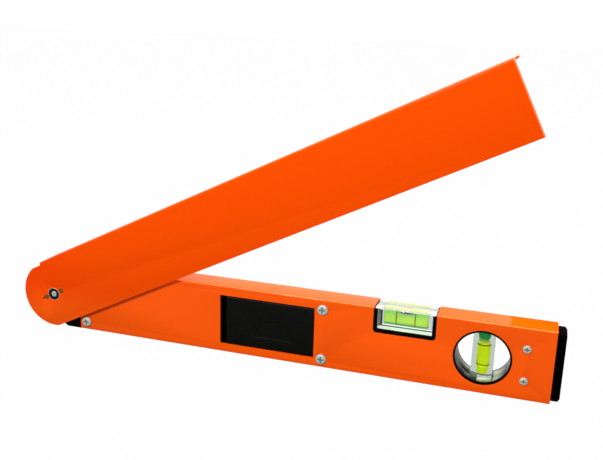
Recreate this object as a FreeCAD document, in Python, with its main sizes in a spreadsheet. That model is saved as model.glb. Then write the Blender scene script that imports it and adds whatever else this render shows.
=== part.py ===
import FreeCAD, Part
import math
import os
import re
import Sketcher
from FreeCAD import Placement, Rotation, Vector

# Digital inclinometer: a box-section level with a display, two block vials and a folding arm.
# Millimetres. Origin at the middle of the tube's bottom face, +X towards the end cap,
# +Y towards the display side, +Z up. The arm stands open at arm_angle.

doc = FreeCAD.newDocument("DigitalInclinometer")
sizes = doc.addObject("Spreadsheet::Sheet", "sizes")

DRIVING = [
    # tube
    ("tube_length", 345.0, "length of the box section"),
    ("tube_height", 50.0, "outer height"),
    ("tube_wall", 1.5, "wall of the extrusion"),
    ("tube_corner", 0.9, "outer edge radius"),
    ("window_width", 70.3, "battery and display windows, along X"),
    ("window_inset", 229.5, "left edge of both windows from the tube's right end"),
    ("window_rise", 6.25, "bottom of the windows above the base"),
    ("window_drop", 6.75, "top of the windows below the tube's top"),
    ("notch_width", 42.3, "notch for the level vial"),
    ("notch_depth", 17.9, "depth of that notch from the top"),
    ("notch_inset", 96.95, "middle of that notch from the tube's right end"),
    ("notch_corner", 2.4, "radius in its lower corners"),
    ("port_radius", 19.0, "round port for the plumb vial"),
    ("port_inset", 44.8, "its centre from the tube's right end"),
    ("port_rise", 0.1, "its centre above half the tube's height"),
    # screws, heads on the back face
    ("screw_radius", 1.95, "shank of the larger screws"),
    ("screw_head", 3.7, "head radius of the larger screws"),
    ("small_screw", 1.45, "shank of the end cap's screws"),
    ("small_head", 2.7, "head radius of the end cap's screws"),
    ("head_height", 1.8, "height of every pan head"),
    ("hole_slack", 0.15, "radial slack of a screw hole in the tube wall"),
    ("pilot_slack", 0.04, "radial slack of a screw in its plastic boss"),
    ("edge_screw_rise", 6.25, "lower screws above the base, upper ones as far below the top"),
    ("top_screw_drop", 7.2, "upper window screw below the top"),
    ("housing_screw_inset", 5.7, "housing screws from the tube's left end"),
    ("carrier_screw_gap", 5.75, "carrier screws from the window's right edge"),
    ("cap_screw_inset", 17.5, "end cap screws from the tube's right end"),
    ("cap_screw_low", 13.6, "lower end cap screw above the base"),
    ("cap_screw_drop", 14.1, "upper end cap screw below the top"),
    ("screw_length", 7.0, "shank of the larger screws below the head"),
    ("small_length", 8.0, "shank of the end cap's screws below the head"),
    ("pilot_depth", 1.0, "pilot holes beyond the screws' tips"),
    # pivot and arm
    ("pivot_reach", 20.2, "pivot axis beyond the tube's left end"),
    ("pivot_rise", 1.2, "pivot axis above half the tube's height"),
    ("arm_angle", 26.6, "opening of the arm as it stands"),
    ("sheet", 1.2, "thickness of the arm's sheet"),
    ("arm_gap", 2.3, "arm plate clear of the tube's back face"),
    ("edge_rise", 2.4, "closed plate's lower edge above the base"),
    ("fold_gap", 1.15, "closed web above the tube's top"),
    ("bend_radius", 2.05, "outer radius of the fold"),
    ("arm_reach", 373.4, "pivot axis to the plate's free end"),
    ("web_overrun", 1.5, "folded web beyond the plate's free end"),
    ("round_rise", 0.8, "round end of the arm above the base"),
    ("collar_radius", 4.5, "black collar of the hub in the plate"),
    ("collar_proud", 0.2, "collar standing out of the plate"),
    ("key_radius", 1.9, "brass key pins"),
    ("key_spacing", 7.2, "key pins from the pivot axis"),
    ("key_slot", 11.3, "end of the slot beside the outer key pin"),
    ("key_slot_width", 1.2, "width of that slot"),
    ("flange_radius", 11.0, "hub flange between plate and housing"),
    ("flange_thickness", 1.8, "its thickness"),
    ("shaft_radius", 6.0, "hub shaft"),
    ("bearing_slack", 0.05, "radial running slack of that shaft"),
    ("pivot_screw_radius", 1.5, "pivot screw's shank"),
    ("pivot_head_radius", 2.4, "pivot screw's head"),
    ("pivot_head_height", 1.5, "its height"),
    ("washer_thickness", 0.5, "washer under the pivot nut"),
    ("washer_radius", 3.3, "washer under the pivot nut"),
    ("nut_radius", 3.15, "pivot nut across its corners, halved"),
    ("nut_height", 2.4, "pivot nut"),
    ("nut_clearance", 2.85, "sensor board clear of the nut"),
    ("head_sink", 0.1, "pivot screw's head below the collar's face"),
    ("key_floor", 0.4, "flange left under the key pins"),
    ("thread_end", 0.3, "pivot screw beyond its nut"),
    ("friction_washer", 0.5, "thickness of the friction washer"),
    ("running_gap", 0.3, "air between turning faces"),
    # pivot housing
    ("head_proud", 0.6, "round head of the housing above the tube's top"),
    ("housing_inset", 0.3, "housing faces inside the tube's faces"),
    ("housing_wall", 2.0, "moulded wall"),
    ("heel_reach", 8.7, "lower heel of the head beyond the pivot axis"),
    ("heel_cut", 2.6, "slant across the heel's corner, along X"),
    ("heel_rise", 1.6, "the same along Z"),
    ("boss_radius", 9.0, "bearing boss"),
    ("rotor_thickness", 1.2, "sensor rotor"),
    ("sensor_gap", 0.5, "air between sensor rotor and sensor board"),
    ("board_edge", 0.8, "sensor board inside the housing's wall"),
    ("board_thickness", 1.0, "every circuit board"),
    ("post_radius", 2.4, "posts that carry the sensor board"),
    ("post_inset", 5.3, "their axes inside the head's outline"),
    ("cover_screw", 1.1, "cover screw's shank"),
    ("cover_head", 2.0, "cover screw's head radius"),
    ("cover_head_height", 1.2, "cover screw's head"),
    ("cover_sink", 1.3, "depth of its countersunk seat"),
    ("cover_grip", 3.0, "cover screw in its post"),
    ("tongue_length", 24.0, "housing tongues inside the tube"),
    ("tongue_height", 9.5, "their height"),
    ("tube_fit", 0.1, "slack of plugs inside the tube"),
    ("ribbon_width", 10.0, "flat cable"),
    ("ribbon_thickness", 0.3, "flat cable"),
    ("duct_slack", 1.0, "round the cable in the housing"),
    # battery compartment and display
    ("door_gap", 4.6, "open strip left of the battery door"),
    ("door_recess", 0.6, "door below the tube's face"),
    ("door_thickness", 1.4, "battery door"),
    ("door_slack", 0.3, "round the door"),
    ("grip_width", 26.3, "thumb recess of the door"),
    ("grip_rise", 15.1, "its straight edge above the base"),
    ("grip_inset", 39.85, "its middle from the window's left edge"),
    ("grip_depth", 0.6, "its depth"),
    ("hook_length", 3.6, "door hooks along X"),
    ("hook_neck", 1.2, "their neck"),
    ("hook_foot", 2.8, "their foot"),
    ("hook_inset", 3.2, "hooks from the window's long edges"),
    ("hook_place", 14.0, "hooks from the window's short edges"),
    ("hook_height", 1.6, "neck of a hook"),
    ("hook_lip", 0.9, "foot of a hook"),
    ("carrier_wall", 1.5, "carrier beyond the window's left edge"),
    ("carrier_tail", 12.5, "carrier beyond the window's right edge"),
    ("cell_radius", 5.25, "battery"),
    ("cell_length", 43.4, "battery without its button"),
    ("cell_button", 1.1, "battery button"),
    ("cell_pitch", 11.2, "between the battery axes"),
    ("bay_width", 49.0, "battery bay along X"),
    ("bay_inset", 10.5, "battery bay from the window's left edge"),
    ("bay_slack", 0.15, "round the batteries"),
    ("bay_floor", 0.85, "bay floor"),
    ("contact_thickness", 0.3, "contact strip"),
    ("contact_width", 6.0, "contact strip"),
    ("contact_tongue", 1.2, "half the width of a contact's tongue"),
    ("contact_margin", 1.0, "contact strips from the bay's mouth and floor"),
    ("board_margin", 1.4, "main board from the window's short edges"),
    ("cable_lap", 6.0, "cable on each board"),
    ("lcd_width", 46.0, "display glass"),
    ("lcd_height", 25.0, "display glass"),
    ("lcd_thickness", 1.8, "display glass"),
    ("lens_width", 44.0, "display opening"),
    ("lens_height", 22.0, "display opening"),
    ("lens_lip", 1.2, "ledge under the lens"),
    ("lens_thickness", 1.2, "display lens"),
    ("lens_inset", 26.0, "middle of the display from the window's left edge"),
    ("bezel_flange", 0.8, "bezel standing out of the tube's face"),
    ("bezel_overlap", 1.5, "bezel flange beyond the window"),
    ("bezel_depth", 2.2, "bezel inside the window"),
    ("bezel_corner", 2.4, "corners of its flange"),
    ("button_radius", 3.6, "push buttons"),
    ("button_flange", 4.5, "their captive flange"),
    ("button_pitch", 10.6, "between the buttons"),
    ("button_inset", 9.7, "their row from the window's right edge"),
    ("button_proud", 1.0, "buttons beyond the bezel"),
    ("button_bevel", 0.4, "their front edge"),
    ("stem_radius", 2.2, "their stem"),
    ("flange_height", 0.6, "their flange"),
    ("dome_radius", 2.9, "switch domes"),
    ("button_travel", 0.7, "their travel"),
    ("dome_height", 0.3, "switch domes"),
    ("stem_length", 0.7, "button stem under its flange's top"),
    ("captive_gap", 0.2, "button flange behind the bezel"),
    # vials
    ("frame_wall", 2.5, "walls of the level vial's frame"),
    ("frame_floor", 2.5, "its floor"),
    ("vial_drop", 0.5, "top of the level block below the tube's top"),
    ("vial_inset", 1.4, "level block behind the tube's faces"),
    ("bore_radius", 4.7, "liquid chamber of the level vial"),
    ("bore_length", 31.0, "its length"),
    ("bore_swell", 0.12, "chambers wider in their middle"),
    ("bubble_length", 12.4, "length of the bubble in the level vial"),
    ("bubble_depth", 2.6, "bubble below the chamber's top"),
    ("ring_wall", 1.2, "ring in the round port"),
    ("plumb_width", 13.9, "plumb block, square"),
    ("plumb_clearance", 0.2, "plumb block from the tube's inner walls"),
    ("plumb_bore", 4.4, "its liquid chamber"),
    ("plumb_bore_low", 11.6, "bottom of the chamber above the base"),
    ("plumb_bore_length", 24.1, "chamber length"),
    ("plumb_bubble", 2.2, "air above the liquid"),
    ("plug_tip", 3.1, "lower radius of the green plug"),
    # end cap
    ("cap_reach", 5.8, "end cap beyond the tube"),
    ("cap_inset", 2.0, "cap below the tube's top and above its base"),
    ("cap_side_inset", 1.6, "cap inside the tube's faces"),
    ("cap_plug", 23.0, "cap inside the tube"),
    ("cap_wall", 2.0, "cap wall"),
    ("cap_end", 3.0, "its end wall"),
    ("cap_chamfer", 1.3, "slanted edges of its end face"),
]

for row, (alias, number, note) in enumerate(DRIVING, start=1):
    sizes.set(f"A{row}", alias)
    sizes.set(f"B{row}", str(number))
    sizes.set(f"C{row}", note)
    sizes.setAlias(f"B{row}", alias)
doc.recompute()


def terms(text):
    """Write an expression with plain size names; each name becomes a reference to the sheet."""
    return re.sub(r"[a-z_]+", lambda word: SHEET_NAMES.get(word[0], word[0]), text)


SHEET_NAMES = {alias: "sizes." + alias for alias, number, note in DRIVING}
# depths add up from the back face: door, cell, floor, board, switch, button and bezel
DOOR_STACK = "door_recess + door_thickness + door_slack"
CELL_STACK = "cell_radius * 2 + bay_slack + bay_floor"
SWITCH_STACK = "board_thickness + dome_height + button_travel + running_gap + stem_length"
DEPTH = f"( {DOOR_STACK} + {CELL_STACK} + {SWITCH_STACK} + captive_gap + bezel_depth )"
BACK = f"( 0 - {DEPTH} / 2 )"
FRONT = f"( {DEPTH} / 2 )"
LEFT = "( 0 - tube_length / 2 )"
RIGHT = "( tube_length / 2 )"
WINDOW_LEFT = f"( {RIGHT} - window_inset )"
WINDOW_RIGHT = f"( {WINDOW_LEFT} + window_width )"
WINDOW_TOP = "( tube_height - window_drop )"
WINDOW_MIDDLE = f"( ( window_rise + {WINDOW_TOP} ) / 2 )"
NOTCH_X = f"( {RIGHT} - notch_inset )"
NOTCH_FLOOR = "( tube_height - notch_depth )"
NOTCH_LEFT = f"( {NOTCH_X} - notch_width / 2 )"
NOTCH_RIGHT = f"( {NOTCH_X} + notch_width / 2 )"
PORT_X = f"( {RIGHT} - port_inset )"
PORT_Z = "( tube_height / 2 + port_rise )"
DOOR_OUT = f"( {BACK} + door_recess )"
DOOR_IN = f"( {DOOR_OUT} + door_thickness )"
CARRIER_BACK = f"( {BACK} + {DOOR_STACK} )"
BAY_END = f"( {CARRIER_BACK} + cell_radius * 2 + bay_slack )"
BOARD_Y = f"( {BAY_END} + bay_floor )"
BOARD_END = f"( {BOARD_Y} + board_thickness )"
PIVOT_X = f"( {LEFT} - pivot_reach )"
PIVOT_Z = "( tube_height / 2 + pivot_rise )"
HEAD_RADIUS = f"( tube_height - {PIVOT_Z} + head_proud )"
ARM_LOW = f"( {PIVOT_Z} - edge_rise )"
WEB_IN = f"( tube_height - {PIVOT_Z} + fold_gap )"
ARM_HIGH = f"( {WEB_IN} + sheet - bend_radius )"
ARM_ROUND = f"( {PIVOT_Z} - round_rise )"
PLATE_IN = f"( {BACK} - arm_gap )"
PLATE_OUT = f"( {PLATE_IN} - sheet )"
# the pivot's stack ends where the cable meets the main board
STATOR_END = f"( {BOARD_Y} - ribbon_thickness )"
STATOR_Y = f"( {STATOR_END} - board_thickness )"
ROTOR_END = f"( {STATOR_Y} - sensor_gap )"
SHAFT_END = f"( {ROTOR_END} - rotor_thickness )"
BOSS_END = f"( {SHAFT_END} - running_gap )"
HOUSING_BACK = f"( {BACK} + housing_inset )"
HOUSING_FRONT = f"( {FRONT} - housing_inset )"
HUB_OUT = f"( {PLATE_OUT} - collar_proud )"
FLANGE_END = f"( {PLATE_IN} + flange_thickness )"
POST_CIRCLE = f"( {HEAD_RADIUS} - post_inset )"
# cutting tools reach past the faces that they open
PAST = 1.0
# two places closer than this are one
SAME = 0.01


def value(text):
    """The number that an expression has now."""
    return float(sizes.evalExpression(terms(text)))


def bind(thing, path, text):
    thing.setExpression(path, terms(text))


# primitives and booleans

def block(x, y, z):
    """A box between three pairs of expressions."""
    thing = doc.addObject("Part::Box", "block")
    for side, (low, high) in zip(("Length", "Width", "Height"), (x, y, z)):
        bind(thing, side, f"( {high} ) - ( {low} )")
    for axis, (low, high) in zip("xyz", (x, y, z)):
        bind(thing, f"Placement.Base.{axis}", low)
    return thing


def rod(radius, x, z, y, narrow=None):
    """A cylinder along Y, or a cone where the far radius is narrower."""
    kind = "Part::Cone" if narrow else "Part::Cylinder"
    thing = doc.addObject(kind, "rod")
    if narrow:
        bind(thing, "Radius1", radius)
        bind(thing, "Radius2", narrow)
    else:
        bind(thing, "Radius", radius)
    bind(thing, "Height", f"( {y[1]} ) - ( {y[0]} )")
    thing.Placement = Placement(Vector(), Rotation(Vector(1, 0, 0), -90))
    for axis, low in zip("xyz", (x, y[0], z)):
        bind(thing, f"Placement.Base.{axis}", low)
    return thing


def join(label, *parts):
    thing = doc.addObject("Part::MultiFuse", label)
    thing.Shapes = list(parts)
    thing.Label = label
    return thing


def cut(label, base, *tools):
    thing = doc.addObject("Part::Cut", label)
    thing.Base = base
    thing.Tool = tools[0] if len(tools) == 1 else join(label + "_tools", *tools)
    thing.Label = label
    return thing


def group(label, *parts):
    """Like pieces that share one node as separate solids."""
    thing = doc.addObject("Part::Compound", label)
    thing.Links = list(parts)
    thing.Label = label
    return thing


def settle():
    """Recompute, and stop at any object that failed."""
    doc.recompute()
    for thing in doc.Objects:
        if "Invalid" in thing.State or "Error" in thing.State:
            raise RuntimeError(f"{thing.Name} ({thing.Label}) failed: {thing.State}")


# sketched features

def new_body(label):
    body = doc.addObject("PartDesign::Body", label)
    body.Label = label
    return body


def new_sketch(body, name, plane, offset="0"):
    sketch = body.newObject("Sketcher::SketchObject", name)
    role = next(f for f in body.Origin.OriginFeatures if f.Role == plane)
    sketch.AttachmentSupport = [(role, "")]
    sketch.MapMode = "FlatFace"
    bind(sketch, "AttachmentOffset.Base.z", offset)
    return sketch


def place_point(sketch, geometry, end, across, up):
    """Hold a point of the sketch at two expressions from the sketch's origin."""
    for kind, text in (("DistanceX", across), ("DistanceY", up)):
        rule = Sketcher.Constraint(kind, -1, 1, geometry, end, value(text))
        bind(sketch, f"Constraints[{sketch.addConstraint(rule)}]", text)


def draw_outline(sketch, corners):
    """A closed outline of straight edges through corners, each a pair of expressions."""
    first = sketch.GeometryCount
    points = [Vector(value(a), value(b), 0) for a, b in corners]
    for start, end in zip(points, points[1:] + points[:1]):
        sketch.addGeometry(Part.LineSegment(start, end))
    for index, (across, up) in enumerate(corners):
        following = first + (index + 1) % len(corners)
        sketch.addConstraint(Sketcher.Constraint("Coincident", first + index, 2, following, 1))
        place_point(sketch, first + index, 1, across, up)


def draw_rectangle(sketch, across, up):
    draw_outline(sketch, [(across[0], up[0]), (across[1], up[0]),
                          (across[1], up[1]), (across[0], up[1])])


def draw_circle(sketch, radius, across="0", up="0"):
    centre = Vector(value(across), value(up), 0)
    index = sketch.addGeometry(Part.Circle(centre, Vector(0, 0, 1), value(radius)))
    place_point(sketch, index, 3, across, up)
    rule = Sketcher.Constraint("Radius", index, value(radius))
    bind(sketch, f"Constraints[{sketch.addConstraint(rule)}]", radius)


def draw_arc(sketch, radius, centre, angles, ends):
    """An arc with a placed centre; each end is held by one expression across or up."""
    middle = Vector(value(centre[0]), value(centre[1]), 0)
    circle = Part.Circle(middle, Vector(0, 0, 1), value(radius))
    arc = Part.ArcOfCircle(circle, math.radians(angles[0]), math.radians(angles[1]))
    index = sketch.addGeometry(arc)
    place_point(sketch, index, 3, *centre)
    rule = Sketcher.Constraint("Radius", index, value(radius))
    bind(sketch, f"Constraints[{sketch.addConstraint(rule)}]", radius)
    for end, (kind, text) in zip((1, 2), ends):
        rule = Sketcher.Constraint(kind, -1, 1, index, end, value(text))
        bind(sketch, f"Constraints[{sketch.addConstraint(rule)}]", text)
    return index


def draw_line(sketch, start, end):
    """A line; each end is a pair of expressions, or a joint with the end of a drawn edge."""
    points = []
    for place in (start, end):
        if isinstance(place[0], int):
            points.append(sketch.getPoint(*place))
        else:
            points.append(Vector(value(place[0]), value(place[1]), 0))
    index = sketch.addGeometry(Part.LineSegment(*points))
    for side, place in ((1, start), (2, end)):
        if isinstance(place[0], int):
            rule = Sketcher.Constraint("Coincident", index, side, *place)
            sketch.addConstraint(rule)
        else:
            place_point(sketch, index, side, *place)
    return index


def pad(body, sketch, length, middle=False):
    """Material on the side that the sketch's plane faces, or half on each side of it."""
    feature = body.newObject("PartDesign::Pad", sketch.Name + "_pad")
    feature.Profile = sketch
    feature.Midplane = middle
    bind(feature, "Length", length)
    sketch.Visibility = False
    body.Tip = feature
    return feature


def pocket(body, sketch, length, middle=False):
    """A cut away from the side that the sketch's plane faces, or half on each side of it."""
    settle()
    before = body.Shape.Volume
    feature = body.newObject("PartDesign::Pocket", sketch.Name + "_cut")
    feature.Profile = sketch
    feature.Midplane = middle
    bind(feature, "Length", length)
    body.Tip = feature
    settle()
    if body.Shape.Volume > before - 1e-6:
        raise RuntimeError(f"{body.Label}: {sketch.Name} cuts nothing")
    return feature


def revolve(body, sketch, axis="V_Axis"):
    feature = body.newObject("PartDesign::Revolution", sketch.Name + "_turn")
    feature.Profile = sketch
    feature.ReferenceAxis = (sketch, [axis])
    feature.Angle = 360
    body.Tip = feature
    return feature


def soften(body, kind, size, wanted):
    """A Fillet or Chamfer on the edges whose box passes a test."""
    settle()
    edges = enumerate(body.Tip.Shape.Edges, start=1)
    names = [f"Edge{number}" for number, edge in edges if wanted(edge.BoundBox)]
    if not names:
        raise RuntimeError(f"{body.Label}: no edge found for a {kind}")
    base = body.Tip
    feature = body.newObject(f"PartDesign::{kind}", f"{body.Name}_{kind}")
    feature.Base = (base, names)
    bind(feature, "Radius" if kind == "Fillet" else "Size", size)
    body.Tip = feature
    settle()


def near(a, b):
    return abs(a - b) < SAME


def turn_with_arm(thing):
    """Arm pieces are drawn closed about the pivot axis and opened by their placement."""
    thing.Placement = Placement(Vector(), Rotation(Vector(0, -1, 0), 1.0))
    bind(thing, "Placement.Base.x", PIVOT_X)
    bind(thing, "Placement.Base.z", PIVOT_Z)
    bind(thing, "Placement.Rotation.Angle", "arm_angle")
    return thing


def runs_along(axis, box):
    """Whether an edge's box is a line along X, Y or Z."""
    lengths = {"X": box.XLength, "Y": box.YLength, "Z": box.ZLength}
    return lengths.pop(axis) > SAME and max(lengths.values()) < SAME


# screws: heads on the back face, shanks along +Y

CROSS_REACH = 0.6
CROSS_WIDTH = 0.15
CROSS_DEPTH = 0.55
CROWN_START = 0.5
CROWN_TOP = 0.72


def cross_recess(x, z, head, depth):
    """Two crossed bars that cut a recess into a head."""
    bars = []
    for across, up in ((CROSS_REACH, CROSS_WIDTH), (CROSS_WIDTH, CROSS_REACH)):
        bars.append(block((f"{x} - {head} * {across}", f"{x} + {head} * {across}"), depth,
                          (f"{z} - {head} * {up}", f"{z} + {head} * {up}")))
    return bars


def pan_screw(x, z, seat, radius, head, height, length):
    """Head with a tapered crown and a cross recess; seat is the Y of the face under the head."""
    crown = f"( {seat} - {height} * {CROWN_START} )"
    top = f"( {seat} - {height} )"
    body = join("screw_blank",
                rod(radius, x, z, (seat, f"{seat} + {length}")),
                rod(head, x, z, (crown, seat)),
                rod(f"{head} * {CROWN_TOP}", x, z, (top, crown), narrow=head))
    depth = (f"{top} - {PAST}", f"{top} + {height} * {CROSS_DEPTH}")
    return cut("pan_screw", body, *cross_recess(x, z, head, depth))


def pilot(x, z, radius, length):
    """A hole for a screw from the back face to a little past its tip."""
    return rod(f"{radius} + pilot_slack", x, z,
               (f"{BACK} - {PAST}", f"{BACK} + {length} + pilot_depth"))


HOUSING_SCREW_X = f"( {LEFT} + housing_screw_inset )"
CARRIER_SCREW_X = f"( {WINDOW_RIGHT} + carrier_screw_gap )"
CAP_SCREW_X = f"( {RIGHT} - cap_screw_inset )"
HOUSING_SCREWS = [(HOUSING_SCREW_X, "edge_screw_rise"),
                  (HOUSING_SCREW_X, "( tube_height - edge_screw_rise )")]
CARRIER_SCREWS = [(CARRIER_SCREW_X, "edge_screw_rise"),
                  (CARRIER_SCREW_X, "( tube_height - top_screw_drop )")]
CAP_SCREWS = [(CAP_SCREW_X, "cap_screw_low"),
              (CAP_SCREW_X, "( tube_height - cap_screw_drop )")]


def build_screws():
    large = ("screw_radius", "screw_head", "head_height", "screw_length")
    small = ("small_screw", "small_head", "head_height", "small_length")
    group("housing_screws", *[pan_screw(x, z, BACK, *large) for x, z in HOUSING_SCREWS])
    group("carrier_screws", *[pan_screw(x, z, BACK, *large) for x, z in CARRIER_SCREWS])
    group("cap_screws", *[pan_screw(x, z, BACK, *small) for x, z in CAP_SCREWS])


def build_tube():
    """Box-section extrusion with its windows, notch, port and screw holes."""
    body = new_body("level_tube")
    section = new_sketch(body, "tube_section", "YZ_Plane")
    draw_rectangle(section, (BACK, FRONT), ("0", "tube_height"))
    draw_rectangle(section, (f"{BACK} + tube_wall", f"{FRONT} - tube_wall"),
                   ("tube_wall", "tube_height - tube_wall"))
    pad(body, section, "tube_length", middle=True)
    soften(body, "Fillet", "tube_corner",
           lambda box: runs_along("X", box) and near(abs(box.YMin), value(FRONT)))

    windows = new_sketch(body, "windows", "XZ_Plane")
    draw_rectangle(windows, (WINDOW_LEFT, WINDOW_RIGHT), ("window_rise", WINDOW_TOP))
    pocket(body, windows, f"{DEPTH} + {PAST}", middle=True)
    notch = new_sketch(body, "vial_notch", "XZ_Plane")
    draw_rectangle(notch, (NOTCH_LEFT, NOTCH_RIGHT), (NOTCH_FLOOR, f"tube_height + {PAST}"))
    pocket(body, notch, f"{DEPTH} + {PAST}", middle=True)
    soften(body, "Fillet", "notch_corner",
           lambda box: runs_along("Y", box) and near(box.ZMin, value(NOTCH_FLOOR)))
    port = new_sketch(body, "plumb_port", "XZ_Plane")
    draw_circle(port, "port_radius", PORT_X, PORT_Z)
    pocket(body, port, f"{DEPTH} + {PAST}", middle=True)

    holes = new_sketch(body, "screw_holes", "XZ_Plane", f"0 - {BACK} + {PAST}")
    for x, z in HOUSING_SCREWS + CARRIER_SCREWS:
        draw_circle(holes, "screw_radius + hole_slack", x, z)
    for x, z in CAP_SCREWS:
        draw_circle(holes, "small_screw + hole_slack", x, z)
    pocket(body, holes, f"tube_wall + {PAST} * 2")


# the folding arm and what turns with it, drawn about the pivot axis

def build_arm():
    """Folded sheet: a plate with a round end, and a web that closes over the tube's top."""
    body = new_body("arm_blade")
    plate = new_sketch(body, "plate", "XZ_Plane", f"0 - {PLATE_IN}")
    low_angle = 180 + math.degrees(math.asin(value(ARM_LOW) / value(ARM_ROUND)))
    high_angle = 180 - math.degrees(math.asin(value(ARM_HIGH) / value(ARM_ROUND)))
    round_end = draw_arc(plate, ARM_ROUND, ("0", "0"), (high_angle, low_angle),
                         (("DistanceY", ARM_HIGH), ("DistanceY", f"0 - {ARM_LOW}")))
    lower = draw_line(plate, (round_end, 2), ("arm_reach", f"0 - {ARM_LOW}"))
    free = draw_line(plate, (lower, 2), ("arm_reach", ARM_HIGH))
    draw_line(plate, (free, 2), (round_end, 1))
    pad(body, plate, "sheet")

    fold = new_sketch(body, "fold", "YZ_Plane")
    crest = f"( {WEB_IN} + sheet )"
    bend_y = f"( {PLATE_OUT} + bend_radius )"
    ends = (("DistanceX", bend_y), ("DistanceY", ARM_HIGH))
    outer = draw_arc(fold, "bend_radius", (bend_y, ARM_HIGH), (90, 180), ends)
    inner = draw_arc(fold, "bend_radius - sheet", (bend_y, ARM_HIGH), (90, 180), ends)
    top = draw_line(fold, (outer, 1), (FRONT, crest))
    edge = draw_line(fold, (top, 2), (FRONT, WEB_IN))
    draw_line(fold, (edge, 2), (inner, 1))
    draw_line(fold, (inner, 2), (outer, 2))
    pad(body, fold, "arm_reach + web_overrun")
    settle()
    corner = new_sketch(body, "free_corner", "XY_Plane")
    draw_rectangle(corner, ("arm_reach", f"arm_reach + web_overrun + {PAST}"),
                   (f"{PLATE_OUT} - {PAST}", bend_y))
    pocket(body, corner, f"( {crest} + {PAST} ) * 2", middle=True)

    holes = new_sketch(body, "hub_holes", "XZ_Plane", f"0 - {PLATE_OUT} + {PAST}")
    draw_circle(holes, "collar_radius + pilot_slack")
    draw_circle(holes, "key_radius + pilot_slack", "key_spacing", "0")
    draw_circle(holes, "key_radius + pilot_slack", "0 - key_spacing", "0")
    pocket(body, holes, f"sheet + {PAST} * 2")
    slot = new_sketch(body, "key_slot", "XZ_Plane", f"0 - {PLATE_OUT} + {PAST}")
    draw_rectangle(slot, ("0 - key_slot", "0 - key_spacing"),
                   ("0 - key_slot_width / 2", "key_slot_width / 2"))
    pocket(body, slot, f"sheet + {PAST} * 2")
    turn_with_arm(body)


SCREW_SEAT = f"( {HUB_OUT} + pivot_head_height + head_sink )"
KEY_END = f"( {FLANGE_END} - key_floor )"


def build_hub():
    """Turned hub: collar in the plate, flange behind it, shaft through the housing."""
    body = new_body("pivot_hub")
    profile = new_sketch(body, "hub_profile", "XY_Plane")
    bore = "( pivot_screw_radius + pilot_slack )"
    sink = "( pivot_head_radius + hole_slack )"
    draw_outline(profile, [
        (sink, HUB_OUT),
        ("collar_radius", HUB_OUT),
        ("collar_radius", PLATE_IN),
        ("flange_radius", PLATE_IN),
        ("flange_radius", FLANGE_END),
        ("shaft_radius", FLANGE_END),
        ("shaft_radius", SHAFT_END),
        (bore, SHAFT_END),
        (bore, SCREW_SEAT),
        (sink, SCREW_SEAT)])
    revolve(body, profile)
    sockets = new_sketch(body, "key_sockets", "XZ_Plane", f"0 - {PLATE_IN} + {PAST}")
    draw_circle(sockets, "key_radius + pilot_slack", "key_spacing", "0")
    draw_circle(sockets, "key_radius + pilot_slack", "0 - key_spacing", "0")
    pocket(body, sockets, f"{KEY_END} - {PLATE_IN} + {PAST} + pilot_slack")
    turn_with_arm(body)


def build_hub_hardware():
    """Pivot screw, its washer and nut, the sensor rotor and the key pins."""
    washer_end = f"( {ROTOR_END} + washer_thickness )"
    nut_end = f"( {washer_end} + nut_height )"
    length = f"( {nut_end} + thread_end - {SCREW_SEAT} )"
    turn_with_arm(group("pivot_screw", pan_screw(
        "0", "0", SCREW_SEAT, "pivot_screw_radius", "pivot_head_radius", "pivot_head_height", length)))
    hole = rod("pivot_screw_radius + pilot_slack", "0", "0",
               (f"{SHAFT_END} - {PAST}", f"{nut_end} + {PAST}"))
    rotor_radius = f"{POST_CIRCLE} - post_radius - running_gap"
    turn_with_arm(cut("sensor_rotor", rod(rotor_radius, "0", "0", (SHAFT_END, ROTOR_END)), hole))
    turn_with_arm(cut("pivot_washer", rod("washer_radius", "0", "0", (ROTOR_END, washer_end)), hole))
    nut = doc.addObject("Part::Prism", "nut_blank")
    nut.Polygon = 6
    bind(nut, "Circumradius", "nut_radius")
    bind(nut, "Height", "nut_height")
    nut.Placement = Placement(Vector(), Rotation(Vector(1, 0, 0), -90))
    bind(nut, "Placement.Base.y", washer_end)
    turn_with_arm(cut("pivot_nut", nut, hole))
    pins = [rod("key_radius", x, "0", (PLATE_OUT, KEY_END))
            for x in ("key_spacing", "0 - key_spacing")]
    turn_with_arm(group("key_pins", *pins))


# the pivot housing, fixed to the tube

HEAD_TOP = "( tube_height - housing_inset )"
HOUSING_FLOOR = f"( {HOUSING_BACK} + housing_wall )"
COVER_IN = f"( {HOUSING_FRONT} - housing_wall )"
POST_ANGLES = (90, 210, 330)
CABLE_LOW = f"( {PIVOT_Z} - ribbon_width / 2 )"
CABLE_HIGH = f"( {PIVOT_Z} + ribbon_width / 2 )"


def post_places():
    """The three post axes on their circle about the pivot axis."""
    return [(f"( {PIVOT_X} + {POST_CIRCLE} * cos({angle} deg) )",
             f"( {PIVOT_Z} + {POST_CIRCLE} * sin({angle} deg) )") for angle in POST_ANGLES]


def beside_tube(reach, clearance):
    """What a round piece about the pivot loses where the tube's end stands."""
    return block((f"{LEFT} - {clearance}", f"{LEFT} + {reach}"),
                 (f"{BACK} - {PAST}", f"{FRONT} + {PAST}"), (f"0 - {PAST}", f"tube_height + {PAST}"))


def build_heel():
    """The slanted lower corner of the head, behind the arm's round end."""
    heel = new_body("heel_block")
    side = new_sketch(heel, "heel_side", "XZ_Plane", f"0 - {HOUSING_FRONT}")
    left = f"( {PIVOT_X} + heel_reach )"
    deep = f"( {PIVOT_Z} - {HEAD_RADIUS} * 0.8 )"
    draw_outline(side, [
        (left, "0"),
        (f"{left} + housing_wall", "0"),
        (f"{left} + housing_wall", deep),
        (f"{left} - heel_cut * 2", deep),
        (f"{left} - heel_cut", "heel_rise")])
    pad(heel, side, f"{HOUSING_FRONT} - {HOUSING_BACK}")
    settle()
    return heel


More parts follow.
